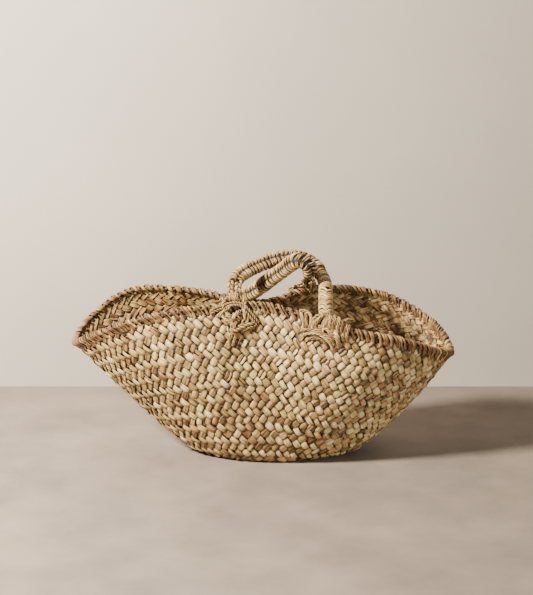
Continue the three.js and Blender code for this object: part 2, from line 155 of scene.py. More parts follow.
def carried(path: Array, start: Array) -> tuple[Array, Array, Array]:
    """Directions carried along a path without twisting.

    Args:
        path: the points, n by 3.
        start: the side direction to begin with.

    Returns:
        The headings, the sides and the directions square to both, n by 3 each.
    """
    headings = unit(np.gradient(path, axis=0))
    sides = np.empty_like(path)
    side = np.asarray(start, float)
    for i, heading in enumerate(headings):
        side = side - heading * side.dot(heading)
        side = side / np.linalg.norm(side)
        sides[i] = side
    return headings, sides, np.cross(headings, sides)


@dataclass
class Strands:
    """Strands gathered into one mesh, each a closed body with its own run of texture.

    A strand is a row of sections. The leaf's or cord's grain runs along it by the UV map, and its colour and
    its depth in the weave are kept as the attributes tone and depth; the finishes darken the colour by depth
    as painted shade.
    """

    name: str
    sides: int = 8
    seed: int = 1
    fullness: float = 1.0
    points: list = field(default_factory=list)
    faces: list = field(default_factory=list)
    uvs: list = field(default_factory=list)
    tones: list = field(default_factory=list)
    depths: list = field(default_factory=list)
    used: int = 0

    def __post_init__(self) -> None:
        """Seeds the strands' own chances."""
        self.chance = np.random.default_rng(self.seed)

    def add(
        self,
        path: Array,
        outward: Array,
        wide: Array | float,
        thick: Array | float,
        tone: Array | float = 0.5,
        depth: Array | float = 1.0,
        arch: float = 0.0,
        roll: Array | float = 0.0,
    ) -> None:
        """Adds strands that all have the same number of sections.

        Args:
            path: the middle of each strand, strands by sections by 3, or sections by 3 for one.
            outward: the direction of its thickness at each section.
            wide: half its width.
            thick: half its thickness.
            tone: its colour, 0 to 1.
            depth: 0 where it lies deep in the weave, 1 on top; low values are painted as shade.
            arch: how far its edges bend down, as a share of half its width.
            roll: how far it turns about its own length, in radians.
        """
        path = path if path.ndim == 3 else path[None]
        rows, count, _ = path.shape
        if not rows:
            return
        outward = np.broadcast_to(outward, path.shape)
        wide, thick, tone, depth, roll = (
            np.broadcast_to(np.asarray(v, float), (rows, count)) for v in (wide, thick, tone, depth, roll)
        )
        heading = unit(np.gradient(path, axis=1))
        side = unit(np.cross(heading, outward))
        lift = np.cross(side, heading)
        turn = roll[..., None]
        side, lift = side * np.cos(turn) + lift * np.sin(turn), lift * np.cos(turn) - side * np.sin(turn)
        angle = 2 * np.pi * (np.arange(self.sides) + 0.5) / self.sides
        reach, height = (np.sign(f) * np.abs(f) ** self.fullness for f in (np.cos(angle), np.sin(angle)))
        across = reach * wide[..., None]
        rise = height * thick[..., None] - arch * wide[..., None] * reach**2
        ring = (
            path[:, :, None, :]
            + side[:, :, None, :] * across[..., None]
            + lift[:, :, None, :] * rise[..., None]
        )
        self._keep(ring, heading, side, lift, path, tone, depth)

    def _keep(
        self, ring: Array, heading: Array, side: Array, lift: Array, path: Array, tone: Array, depth: Array
    ) -> None:
        """Stores the sections' points, faces, UV map and attributes.

        Args:
            ring: the points of the sections, strands by sections by sides by 3.
            heading: the direction along each strand.
            side: the direction of its width.
            lift: the direction of its thickness.
            path: the middle of each strand.
            tone: the colour at each section.
            depth: the depth at each section.
        """
        rows, count, sides, _ = ring.shape
        index = self.used + np.arange(rows * count * sides).reshape(rows, count, sides)
        nxt = np.roll(index, -1, axis=2)
        walls = np.stack([index[:, :-1], nxt[:, :-1], nxt[:, 1:], index[:, 1:]], axis=-1).reshape(-1, 4)
        j = np.arange(sides // 2 - 1)
        first, last = index[:, 0], index[:, -1]
        caps = [(first[:, k], first[:, sides - 1 - k], first[:, sides - 2 - k], first[:, k + 1]) for k in j]
        caps += [(last[:, k], last[:, k + 1], last[:, sides - 2 - k], last[:, sides - 1 - k]) for k in j]
        ends = np.concatenate([np.stack(cap, axis=-1) for cap in caps])
        run = np.zeros((rows, count))
        run[:, 1:] = np.cumsum(np.linalg.norm(np.diff(path, axis=1), axis=2), axis=1)
        run += self.chance.uniform(0, 5, (rows, 1))
        rounds = (np.arange(sides + 1) + 0.5) / sides
        u = np.broadcast_to(run[:, :, None], (rows, count, sides + 1))
        v = np.broadcast_to(rounds, (rows, count, sides + 1)) + self.chance.integers(0, 40, (rows, 1, 1))
        grid = np.stack([u, v], axis=-1)
        corners = [grid[:, :-1, :-1], grid[:, :-1, 1:], grid[:, 1:, 1:], grid[:, 1:, :-1]]
        wall_uv = np.stack(corners, axis=3).reshape(-1, 4, 2)
        end_uv = np.zeros((len(ends), 4, 2))
        handed = np.einsum("ij,ij->i", np.cross(heading[:, 0], side[:, 0]), lift[:, 0])
        if handed.mean() > 0:
            walls, ends, wall_uv = walls[:, ::-1], ends[:, ::-1], wall_uv[:, ::-1]
        self.points.append(ring.reshape(-1, 3))
        self.faces += [walls, ends]
        self.uvs += [wall_uv, end_uv]
        for kept, value in ((self.tones, tone), (self.depths, depth)):
            kept.append(np.broadcast_to(value[:, :, None], ring.shape[:3]).reshape(-1))
        self.used += rows * count * sides

    def make(self, material: bpy.types.Material) -> bpy.types.Object:
        """Makes the mesh.

        Args:
            material: the finish of the whole piece.

        Returns:
            The finished piece, at the origin.
        """
        points, faces = np.concatenate(self.points), np.concatenate(self.faces)
        mesh = bpy.data.meshes.new(self.name)
        mesh.vertices.add(len(points))
        mesh.vertices.foreach_set("co", points.astype(np.float32).ravel())
        mesh.loops.add(faces.size)
        mesh.loops.foreach_set("vertex_index", faces.astype(np.int32).ravel())
        mesh.polygons.add(len(faces))
        mesh.polygons.foreach_set("loop_start", np.arange(0, faces.size, 4, dtype=np.int32))
        mesh.update(calc_edges=True)
        layer = mesh.uv_layers.new(name="grain")
        layer.uv.foreach_set("vector", np.concatenate(self.uvs).astype(np.float32).ravel())
        for name, values in (("tone", self.tones), ("depth", self.depths)):
            attribute = mesh.attributes.new(name, "FLOAT", "POINT")
            attribute.data.foreach_set("value", np.concatenate(values).astype(np.float32))
        mesh.polygons.foreach_set("use_smooth", np.ones(len(faces), dtype=bool))
        mesh.materials.append(material)
        piece = bpy.data.objects.new(self.name, mesh)
        bpy.context.scene.collection.objects.link(piece)
        LOG.info("%s: %d faces", self.name, len(faces))
        return piece


@dataclass
class Wall:
    """The middle surface of the plait: the flat oval, the turn upward, the swelling wall and the rim."""

    centre_half: tuple[float, float] = (62, 25)
    base_half: tuple[float, float] = (103, 62)
    corner_reach: float = 18
    slope: float = 0.4
    side_swell: float = 32
    right_swell: float = 18
    left_swell: float = 8
    thickness: float = 4.4
    stations: tuple = (
        (222, -15, 131), (204, 36, 155), (142, 70, 184), (55, 63, 194),
        (-20, 36, 181), (-108, 62, 191), (-189, 70, 189), (-241, 46, 157),
        (-256, 14, 135), (-233, -22, 151), (-179, -54, 178), (-103, -64, 197),
        (-9, -58, 200), (82, -88, 178), (148, -84, 164), (201, -52, 141),
    )
    steps_round: int = 720
    steps_up: int = 200

    def __post_init__(self) -> None:
        """Works the surface out once, as a grid by angle and another by even steps along each level."""
        around = np.arange(self.steps_round) / self.steps_round
        self.raw, self.totals = self._profiles(around)
        self.raw_normals = self._normals(self.raw)
        self.even, self.girths = self._evened()
        self.even_normals = self._normals(self.even)

    def rim(self, around: Array | float) -> Array:
        """Points on the middle of the rim cord.

        Args:
            around: shares of the way round, from the right tip along the back.

        Returns:
            The points in metres.
        """
        stations = np.asarray(self.stations, float) * MM
        place = (np.asarray(around, float) % 1.0) * len(stations)
        i = np.floor(place).astype(int)
        t = (place - i)[..., None]
        p0, p1, p2, p3 = (stations[(i + k) % len(stations)] for k in (-1, 0, 1, 2))
        return cubic(p1, p2, (p2 - p0) / 2, (p3 - p1) / 2, t)

    def _profiles(self, around: Array) -> tuple[Array, Array]:
        """The profiles from the centre oval to the rim.

        Args:
            around: shares of the way round.

        Returns:
            The grid of points, around by up by 3, and each profile's length.
        """
        angle = 2 * np.pi * around
        cos, sin = np.cos(angle), np.sin(angle)
        level = np.full_like(cos, self.thickness / 2 * MM)
        centre = np.stack([self.centre_half[0] * MM * cos, self.centre_half[1] * MM * sin, level], -1)
        edge = np.stack([self.base_half[0] * MM * cos, self.base_half[1] * MM * sin, level], -1)
        outward = unit(np.stack([cos / self.base_half[0], sin / self.base_half[1], 0 * cos], -1))
        rim = self.rim(around)
        tip = np.where(cos > 0, self.right_swell, self.left_swell)
        swell = (self.side_swell * sin**2 + tip * (1 - sin**2)) * MM
        corner = edge + outward * self.corner_reach * MM
        shoulder = rim * (1 - self.slope) + edge * self.slope + outward * swell[:, None]
        t = np.linspace(0, 1, 49)[None, :, None]
        a, b, c, d = (p[:, None, :] for p in (edge, corner, shoulder, rim))
        curve = a * (1 - t) ** 3 + 3 * b * t * (1 - t) ** 2 + 3 * c * t**2 * (1 - t) + d * t**3
        line = np.concatenate([centre[:, None], curve], axis=1)
        shares = np.linspace(0, 1, self.steps_up + 1)
        totals = np.array([path_length(row) for row in line])
        grid = np.stack([along_path(row, shares * total) for row, total in zip(line, totals)])
        return grid, totals

    def _normals(self, grid: Array) -> Array:
        """The outward directions of a closed grid.

        Args:
            grid: the points, around by up by 3.

        Returns:
            One direction for each point.
        """
        along = np.roll(grid, -1, axis=0) - np.roll(grid, 1, axis=0)
        upward = np.gradient(grid, axis=1)
        return unit(np.cross(along, upward))

    def _evened(self) -> tuple[Array, Array]:
        """The grid again, with even steps along each level.

        Returns:
            The grid of points and the girth of each level.
        """
        even = np.empty_like(self.raw)
        girths = np.empty(self.steps_up + 1)
        for level in range(self.steps_up + 1):
            ring = np.vstack([self.raw[:, level], self.raw[:1, level]])
            girths[level] = path_length(ring)
            stops = np.arange(self.steps_round) / self.steps_round * girths[level]
            even[:, level] = along_path(ring, stops)
        return even, girths

    def _read(self, grid: Array, normals: Array, around: Array, share: Array) -> tuple[Array, Array]:
        """Reads a grid between its points.

        Args:
            grid: the points.
            normals: their outward directions.
            around: shares of the way round.
            share: shares of the way up.

        Returns:
            The points and the outward directions.
        """
        x = (np.asarray(around, float) % 1.0) * self.steps_round
        y = np.clip(np.asarray(share, float), 0, 1) * self.steps_up
        i, j = np.floor(x).astype(int), np.minimum(np.floor(y).astype(int), self.steps_up - 1)
        fx, fy = (x - i)[..., None], (y - j)[..., None]
        i, k = i % self.steps_round, (i + 1) % self.steps_round

        def blend(values: Array) -> Array:
            """The mean of the four neighbours by their nearness.

            Args:
                values: a grid, around by up.

            Returns:
                One value for each place that is read.
            """
            low = values[i, j] * (1 - fx) + values[k, j] * fx
            high = values[i, j + 1] * (1 - fx) + values[k, j + 1] * fx
            return low * (1 - fy) + high * fy

        return blend(grid), unit(blend(normals))

    def woven(self, around: Array, share: Array) -> tuple[Array, Array]:
        """Reads the wall with even steps along each level."""
        return self._read(self.even, self.even_normals, around, share)

    def by_drop(self, around: Array, drop: Array) -> tuple[Array, Array]:
        """Reads the wall at distances down from the rim.

        Args:
            around: the rim's own shares of the way round.
            drop: the distances, in metres.

        Returns:
            The points and the outward directions.
        """
        around = np.asarray(around, float)
        total = np.interp(around % 1.0, np.arange(self.steps_round) / self.steps_round, self.totals)
        return self._read(self.raw, self.raw_normals, around, 1 - np.asarray(drop, float) / total)

    def girth(self, share: Array) -> Array:
        """The girth of the wall at shares of the way up."""
        return np.interp(share, np.linspace(0, 1, self.steps_up + 1), self.girths)


@dataclass
class Graph:
    """A node tree, with short ways to add to it."""

    tree: bpy.types.NodeTree

    def feed(self, node: bpy.types.Node, inputs: dict) -> None:
        """Fills a node's inputs.

        Args:
            node: the node.
            inputs: a socket to link or a value to set, by the input's name or number.
        """
        for key, value in inputs.items():
            if isinstance(value, bpy.types.NodeSocket):
                self.tree.links.new(value, node.inputs[key])
            else:
                node.inputs[key].default_value = value

    def add(
        self, kind: str, output: str, inputs: dict | None = None, **settings: object
    ) -> bpy.types.NodeSocket:
        """Adds a node.

        Args:
            kind: its type, without the ShaderNode in front.
            output: the output that is wanted.
            inputs: what goes into it.
            settings: its properties.

        Returns:
            The wanted output.
        """
        node = self.tree.nodes.new(f"ShaderNode{kind}")
        for name, value in settings.items():
            setattr(node, name, value)
        self.feed(node, inputs or {})
        return node.outputs[output]

    def maths(self, operation: str, *values: bpy.types.NodeSocket | float) -> bpy.types.NodeSocket:
        """Adds a sum."""
        return self.add("Math", "Value", dict(enumerate(values)), operation=operation)

    def ramp(self, value: bpy.types.NodeSocket, stops: tuple) -> bpy.types.NodeSocket:
        """Adds a run of colours.

        Args:
            value: what picks the colour.
            stops: the positions and colours.

        Returns:
            The colour.
        """
        node = self.tree.nodes.new("ShaderNodeValToRGB")
        elements = node.color_ramp.elements
        while len(elements) < len(stops):
            elements.new(0.5)
        for stop, (position, colour) in zip(elements, stops):
            stop.position = position
            stop.color = (*colour, 1.0)
        self.feed(node, {"Fac": value})
        return node.outputs["Color"]

    def multiplied(self, colour: bpy.types.NodeSocket, by: bpy.types.NodeSocket) -> bpy.types.NodeSocket:
        """Multiplies two colours."""
        inputs = {"Factor": 1.0, "A": colour, "B": by}
        return self.add("Mix", "Result", inputs, data_type="RGBA", blend_type="MULTIPLY")


def new_material(name: str) -> tuple[bpy.types.Material, Graph, bpy.types.Node]:
    """Starts a material.

    Args:
        name: its name.

    Returns:
        The material, its graph and its shader.
    """
    material = bpy.data.materials.new(name)
    material.use_nodes = True
    return material, Graph(material.node_tree), material.node_tree.nodes["Principled BSDF"]


@dataclass(frozen=True)
class Fibre:
    """The lengthwise grain that every leaf, cord and rope finish shares, as one node group."""

    name: str = "palm_fibre"

    def group(self) -> bpy.types.NodeTree:
        """Builds the group once.

        Returns:
            A group with the inputs Along and Across, and the outputs Streak, Line, Height and Edge.
        """
        if self.name in bpy.data.node_groups:
            return bpy.data.node_groups[self.name]
        tree = bpy.data.node_groups.new(self.name, "ShaderNodeTree")
        for name, value in (("Along", 40.0), ("Across", 12.0)):
            socket = tree.interface.new_socket(name, in_out="INPUT", socket_type="NodeSocketFloat")
            socket.default_value = value
        for name in ("Streak", "Line", "Height", "Edge"):
            tree.interface.new_socket(name, in_out="OUTPUT", socket_type="NodeSocketFloat")
        graph, inputs = Graph(tree), tree.nodes.new("NodeGroupInput").outputs
        place = graph.add("UVMap", "UV", uv_map="grain")
        scale = graph.add("CombineXYZ", "Vector", {"X": inputs["Along"], "Y": inputs["Across"]})
        stretch = graph.add("VectorMath", "Vector", {0: place, 1: scale}, operation="MULTIPLY")
        broad, fine = (
            graph.add("TexNoise", "Fac", {"Scale": size, "Detail": detail, "Vector": stretch})
            for size, detail in ((1.0, 2.0), (4.2, 3.0))
        )
        # round the strand, side is 1 at its two edges, where Edge falls to 0: a mask for painted shade in the
        # gaps between strands
        turn = graph.maths("MULTIPLY", graph.add("SeparateXYZ", "Y", {"Vector": place}), 2 * math.pi)
        side = graph.maths("ABSOLUTE", graph.maths("COSINE", turn))
        line, edge = (
            graph.add("MapRange", "Result", {"Value": value, "From Min": low, "From Max": high})
            for value, low, high in ((fine, 0.36, 0.46), (side, 1.0, 0.8))
        )
        height = graph.maths("MULTIPLY_ADD", fine, 0.6, broad)
        results = {"Streak": broad, "Line": line, "Height": height, "Edge": edge}
        graph.feed(tree.nodes.new("NodeGroupOutput"), results)
        return tree


@dataclass(frozen=True)
class PalmFinish:
    """A dried palm finish: a run of colours by tone and grain, with painted shade in the depths between the
    strands and along each strand's edges.
    """

    name: str
    colours: tuple
    along: float = 40.0
    across: float = 14.0
    grain: float = 0.5
    line: float = 0.35
    # how dark the painted shade goes where a strand lies deep in the weave and along its edges
    depth_shade: float = 0.12
    edge_shade: float = 0.3
    tints: tuple = ((0.92, 0.98, 0.8), (1.0, 0.86, 0.74))
    roughness: float = 0.46
    bump: float = 0.7

    def build(self) -> bpy.types.Material:
        """Makes the material.

        Returns:
            The material with its nodes.
        """
        material, graph, shader = new_material(self.name)
        fibre = material.node_tree.nodes.new("ShaderNodeGroup")
        fibre.node_tree = Fibre().group()
        graph.feed(fibre, {"Along": self.along, "Across": self.across})
        streak, line, edge, height = (fibre.outputs[name] for name in ("Streak", "Line", "Edge", "Height"))
        tone, depth = (graph.add("Attribute", "Fac", attribute_name=name) for name in ("tone", "depth"))
        shift = graph.maths("SUBTRACT", tone, 0.5 * self.grain)
        colour = graph.ramp(graph.maths("MULTIPLY_ADD", streak, self.grain, shift), self.colours)
        colour = self._tinted(graph, colour, tone)
        # the fibre lines are the leaf's own grain; the edge and depth masks paint shade along each strand's
        # edges and in the depths of the weave
        for mask, least in ((line, 1 - self.line), (edge, self.edge_shade), (depth, self.depth_shade)):
            level = graph.add("MapRange", "Result", {"Value": mask, "To Min": least})
            colour = graph.multiplied(colour, level)
        rough = {"Value": streak, "To Min": self.roughness - 0.1, "To Max": self.roughness + 0.12}
        bump = {"Strength": self.bump, "Distance": GRAIN_HEIGHT, "Height": height}
        graph.feed(shader, {
            "Base Color": colour,
            "Roughness": graph.add("MapRange", "Result", rough),
            "Normal": graph.add("Bump", "Normal", bump),
            "IOR": 1.4,
        })
        return material

    def _tinted(
        self, graph: Graph, colour: bpy.types.NodeSocket, tone: bpy.types.NodeSocket
    ) -> bpy.types.NodeSocket:
        """Tints each leaf a little, by a chance that its tone settles.

        Args:
            graph: the material's graph.
            colour: the colour to tint.
            tone: the leaf's tone.

        Returns:
            The tinted colour.
        """
        spread = graph.maths("MULTIPLY", tone, TINT_SCATTER)
        pick = graph.add("TexWhiteNoise", "Value", {"W": spread}, noise_dimensions="1D")
        return graph.multiplied(colour, graph.ramp(pick, tuple(zip((0.0, 1.0), self.tints))))


LEAF_FINISH = PalmFinish(
    name="dried_leaf",
    colours=(
        (0.0, (0.075, 0.036, 0.014)),
        (0.2, (0.19, 0.105, 0.043)),
        (0.4, (0.34, 0.215, 0.092)),
        (0.55, (0.45, 0.3, 0.13)),
        (0.7, (0.54, 0.38, 0.172)),
        (0.85, (0.65, 0.485, 0.245)),
        (1.0, (0.8, 0.645, 0.38)),
    ),
    along=20.0,
    across=8.0,
    grain=1.6,
    line=0.55,
    edge_shade=0.14,
    roughness=0.36,
)
CORD_FINISH = PalmFinish(
    name="twisted_cord",
    colours=(
        (0.0, (0.07, 0.033, 0.013)),
        (0.35, (0.22, 0.118, 0.047)),
        (0.6, (0.39, 0.24, 0.1)),
        (0.8, (0.57, 0.39, 0.18)),
        (1.0, (0.83, 0.64, 0.37)),
    ),
    along=60.0,
    across=9.0,
    grain=0.6,
    line=0.5,
    edge_shade=0.18,
    bump=0.8,
    roughness=0.52,
)


@dataclass
class PlaitedWall:
    """The five turns of plait as strips that pass over two and under two."""

    wall: Wall
    material: bpy.types.Material
    turns: int = 5
    rows: int = 5
    leaf_pitch: float = 10.9 * MM
    lift: float = 1.55 * MM
    proud: float = 0.26
    crispness: float = 1.9
    # painted shade and light: strips leaning right are made darker and those leaning left lighter, for the
    # sides that light falls on
    painted_slant_shade: float = 0.1
    row_tone: float = 0.045
    shingle: float = 0.12
    base_lift: float = 0.7
    half_thick: float = 0.62 * MM
    cover: float = 0.392
    split_share: float = 0.035
    steepen: float = 0.12
    sections: int = 44
    top_share: float = 0.985
    seed: int = 7

    def build(self) -> None:
        """Makes one piece for each turn, from the base up."""
        for turn in range(self.turns):
            strands = Strands(f"woven_turn_{turn + 1}", sides=10, seed=self.seed + turn, fullness=0.8)
            for slant in Slant:
                self._family(strands, turn, slant)
            piece = strands.make(self.material)
            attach(piece, "basket")
            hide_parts(f"plait_turn_{turn + 1}", f"seam_cord_{turn + 1}")

    def _family(self, strands: Strands, turn: int, slant: Slant) -> None:
        """Adds the strips of a turn that lean one way.

        Args:
            strands: where they go.
            turn: the turn, from the base.
            slant: the way they lean.
        """
        chance = np.random.default_rng(self.seed * 100 + turn * 10 + slant.value)
        span = 2 * self.rows
        rows = self.turns * span
        low = turn * span - 0.5
        middle = self.wall.girth((low + span / 2) / rows)
        count = round(float(middle) / self.leaf_pitch)
        tuck = 0.75
        high = low + span + tuck
        v = np.linspace(low - tuck, high, self.sections)[None, :]
        first = 0.5 if slant is Slant.RIGHT else 2.5
        phase = np.pi * (v - first) / 2
        k = np.arange(count)[:, None]
        wander = chance.normal(0, 0.04, (count, 1))
        wander = wander + 0.04 * np.sin(v * 0.9 + chance.uniform(0, 6.3, (count, 1)))
        float_number = np.floor((v - first + 2) / 4).astype(int)
        float_number = np.broadcast_to(float_number - float_number.min(), (count, self.sections))
        floats = float_number.max() + 1
        pick = k, float_number

        def each(mean: float, spread: float) -> Array:
            """A chance for each float of each strip."""
            return chance.normal(mean, spread, (count, floats))[pick]

        over = smooth(-0.1, 0.8, np.cos(phase))
        wander = wander + each(0, 0.035) * over
        x = k + slant.value * (v / 2 - self.steepen * np.sin(phase)) + wander
        share = np.clip((v + 0.5) / rows, 0, 1) * self.top_share + 0 * x
        point, normal = self.wall.woven(x / count, share)
        wave = np.tanh(self.crispness * np.cos(phase)) / math.tanh(self.crispness)
        bulge = each(1.0, 0.16)
        ends = smooth(0, tuck + 0.4, v - (low - tuck)) * smooth(0, tuck + 0.4, high - v)
        lift = self.lift * (self.base_lift + (1 - self.base_lift) * smooth(0.12, 0.24, share))
        lift = lift * (1 - self.proud * slant.value * np.cos(phase))
        offset = lift * (wave * bulge * ends - 0.75 * (1 - ends))
        pitch = self.wall.girth(share) / count
        width = chance.normal(1.0, 0.05, (count, 1)) * (1 + each(0, 0.09) * over)
        width = width * self._outline(slant, np.cos(phase))
        roll = each(self.shingle, 0.15) * (0.5 + 0.5 * wave)
        # the slant offset is painted shade and light; the spread about it is the leaves' own random tone
        tone = chance.normal(0.58 - self.painted_slant_shade * slant.value, 0.08, (count, 1))
        tone = tone + each(0, 0.165)
        tone = tone + chance.normal(0, self.row_tone, floats)[float_number]
        tone = np.where(chance.random((count, floats))[pick] < 0.1, 0.16 + 0.3 * tone, tone)
        path = point + normal * offset[..., None]
        wide = pitch * self.cover * width
        # painted shade: darker where a strip dives under its neighbours
        depth = np.broadcast_to(smooth(0.12, 0.95, np.abs(wave)) * ends, x.shape)
        # painted shade: the tone drops where a strip dips to the inner face, so the inside reads shaded
        tone = np.clip(tone, 0.06, 0.88) - 0.2 * smooth(0.1, -0.5, wave)
        split = chance.random(count) < self.split_share
        whole = ~split
        strands.add(path[whole], normal[whole], wide[whole], self.half_thick, tone=tone[whole],
                    depth=depth[whole], arch=0.24, roll=roll[whole])
        across = unit(np.cross(np.gradient(path, axis=1), normal))
        for half in (-1, 1):
            beside = path + across * (half * 0.52 * wide)[..., None]
            strands.add(beside[split], normal[split], 0.5 * wide[split], self.half_thick * 0.9,
                        tone=tone[split] * (0.9 if half > 0 else 0.7), depth=depth[split], arch=0.2,
                        roll=roll[split] + half * 0.35)

    @staticmethod
    def _outline(slant: Slant, wave: Array) -> Array:
        """The width along a strip: pointed leaves for one slant, square ones for the other.

        Args:
            slant: the way the strip leans.
            wave: 1 where it lies on top, -1 where it lies under.

        Returns:
            The width at each section, about 1.
        """
        if slant is Slant.RIGHT:
            return 0.7 + 0.33 * smooth(-0.35, 0.85, wave) + 0.31 * smooth(0.2, 1.0, -wave)
        return 0.98 + 0.06 * np.abs(wave)


@dataclass
class PlaitedStart:
    """The flat oval where the plait starts, woven straight across."""

    wall: Wall
    material: bpy.types.Material
    leaf_pitch: float = 10.9 * MM
    row_pitch: float = 4.9 * MM
    lift: float = 1.0 * MM
    half_thick: float = 0.6 * MM
    sections: int = 40
    seed: int = 31

    def build(self) -> None:
        """Makes the oval."""
        strands = Strands("woven_start", sides=8, seed=self.seed)
        chance = np.random.default_rng(self.seed)
        half_x, half_y = (v * MM + 0.002 for v in self.wall.centre_half)
        for slant in Slant:
            lean = slant.value * self.leaf_pitch / (2 * self.row_pitch)
            reach = half_x + abs(lean) * half_y
            for k in range(-int(reach / self.leaf_pitch), int(reach / self.leaf_pitch) + 1):
                start = (k + 0.25) * self.leaf_pitch
                a = 1 / half_y**2 + lean**2 / half_x**2
                b = 2 * start * lean / half_x**2
                c = start**2 / half_x**2 - 1
                root = b * b - 4 * a * c
                if root < 0.02 * a:
                    continue
                ends = (-b - math.sqrt(root)) / (2 * a), (-b + math.sqrt(root)) / (2 * a)
                y = np.linspace(*ends, self.sections)
                first = 0.5 if slant is Slant.RIGHT else 2.5
                wave = np.cos(np.pi * (y / self.row_pitch - first) / 2)
                z = self.wall.thickness / 2 * MM + self.lift * wave
                path = np.stack([start + lean * y, y, z], axis=-1)
                # painted shade: darker where each strip passes under the crossing ones
                strands.add(path, UP, 0.0041, self.half_thick, tone=float(chance.normal(0.5, 0.12)),
                            depth=smooth(-0.9, 0.75, wave), arch=0.1)
        piece = strands.make(self.material)
        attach(piece, "basket")
        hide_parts("base_plait_centre")


@dataclass
class CordedRim:
    """The cord that edges the mouth, and the strands that bind it to the wall."""

    wall: Wall
    material: bpy.types.Material
    radius: float = 3.1 * MM
    ply_radius: float = 1.9 * MM
    twist: float = 17.0 * MM
    stitch_pitch: float = 8.8 * MM
    stitch_drop: float = 9.5 * MM
    seed: int = 51

    def build(self) -> None:
        """Makes the rim."""
        strands = Strands("bound_rim", sides=6, seed=self.seed)
        self._plies(strands)
        self._stitches(strands)
        piece = strands.make(self.material)
        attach(piece, "basket")
        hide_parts("rim_cord")

    def _frame(self, around: Array) -> tuple[Array, Array, Array]:
        """The rim's own directions.

        Args:
            around: shares of the way round.

        Returns:
            The rim's middle, its outward direction and its upward direction.
        """
        around, nudge = np.asarray(around, float), 0.0005
        middle = self.wall.rim(around)
        _, outward = self.wall.by_drop(around, np.full_like(around, 0.002))
        ahead = unit(self.wall.rim(around + nudge) - self.wall.rim(around - nudge))
        upward = unit(np.cross(outward, ahead))
        upward = upward * np.sign(upward[..., 2:3])
        return middle, unit(outward), upward

    def _plies(self, strands: Strands) -> None:
        """Adds the two plies of the cord, laid round each other and closed on themselves.

        Args:
            strands: where they go.
        """
        count = 1400
        around = np.arange(count + 1) / count
        middle, outward, upward = self._frame(around)
        girth = path_length(middle)
        turns = round(girth / self.twist)
        for ply in range(2):
            angle = 2 * np.pi * (turns * around + ply / 2)
            swing = swung(outward, upward, angle)
            path = middle + swing * (self.radius - self.ply_radius) * 1.3
            # the ply's tone is its own colour; the low depth is painted shade, for the cord lying under its
            # binding
            strands.add(path, swing, self.ply_radius * 1.15, self.ply_radius, tone=0.3, depth=0.45)

    def _stitches(self, strands: Strands) -> None:
        """Adds the binding strands, which lean back to the left as they rise over the rim.

        Args:
            strands: where they go.
        """
        chance = np.random.default_rng(self.seed)
        girth = path_length(self.wall.rim(np.arange(1000) / 1000))
        count = round(girth / self.stitch_pitch)
        t = np.linspace(0, 1, 22)
        reach = self.radius + 1.0 * MM
        for number in range(count):
            for strand in range(2):
                at = (number + 0.38 * strand + chance.normal(0, 0.1)) / count
                lean = chance.normal(11, 1.8) * MM
                drop = chance.normal(1.0, 0.12) * self.stitch_drop
                outer = smooth(0.0, 0.42, t)
                around = at + (lean * (0.5 - t) * 1.6) / girth
                below = drop * (1 - outer) + drop * 0.8 * smooth(0.62, 1.0, t)
                angle = np.pi * smooth(0.28, 0.78, t)
                middle, outward, upward = self._frame(around)
                hug, normal = self.wall.by_drop(around, np.maximum(below, 0.0))
                proud = reach + chance.uniform(-0.4, 0.7) * MM
                over = middle + swung(outward, upward, angle) * proud
                side = np.where(t < 0.5, 1.0, -1.0)[:, None]
                tuck = (1.9 - 2.6 * (smooth(0.16, 0.0, t) + smooth(0.86, 1.0, t))) * MM
                flat = hug + normal * side * tuck[:, None]
                weight = (smooth(0.2, 0.36, t) * smooth(0.86, 0.7, t))[:, None]
                path = flat * (1 - weight) + over * weight
                out = unit(normal * side * (1 - weight) + (over - middle) * weight)
                # painted shade: each stitch darkens where it tucks into the wall at its ends
                strands.add(path, out, chance.normal(2.0 - 0.7 * strand, 0.25) * MM, 1.15 * MM,
                            tone=float(np.clip(chance.normal(0.37, 0.17), 0.08, 0.9)),
                            depth=smooth(0.0, 0.2, t) * smooth(1.0, 0.8, t))


@dataclass
class Foot:
    """Where a handle stands on the rim."""

    wall: Wall
    share: float
    out: Array
    ahead: float

    def _step(self, share: float) -> Array:
        """The rim's step across a small nudge at a share round it."""
        return self.wall.rim(share + RIM_NUDGE) - self.wall.rim(share - RIM_NUDGE)

    def rim_share(self, sideways: float) -> float:
        """The place of a spot on the rim."""
        speed = np.linalg.norm(self._step(self.share)) / (2 * RIM_NUDGE)
        return self.share + self.ahead * sideways / speed

    def on_wall(self, sideways: Array, drop: Array, offset: float) -> Array:
        """Points off the wall's outer face.

        Args:
            sideways: distances along the rim.
            drop: distances down from the rim.
            offset: how far off the face.

        Returns:
            The points, n by 3.
        """
        around = np.array([self.rim_share(float(s)) for s in np.atleast_1d(sideways)])
        point, normal = self.wall.by_drop(around, np.atleast_1d(drop))
        return point + normal * (self.wall.thickness / 2 * MM + offset)

    def round_rim(self, sideways: float, radius: float, degrees: float) -> Array:
        """A point round the rim cord.

        Args:
            sideways: its distance along the rim from the foot.
            radius: how far it is from the rim's middle.
            degrees: its angle up from outside.

        Returns:
            The point.
        """
        share = self.rim_share(sideways)
        ahead = unit(self._step(share))
        out = unit(self.out - ahead * self.out.dot(ahead))
        lift = np.cross(ahead, out)
        lift = lift * (1 if lift[2] > 0 else -1)
        angle = math.radians(degrees)
        return self.wall.rim(share) + out * radius * math.cos(angle) + lift * radius * math.sin(angle)


@dataclass(frozen=True)
class OnWall:
    """A spot off the wall near a foot, in millimetres: along the rim, down from it and off the face."""

    along: float
    drop: float
    off: float

    def place(self, foot: Foot) -> Array:
        """The spot's point in the basket's frame."""
        return foot.on_wall(self.along * MM, self.drop * MM, self.off * MM)[0]


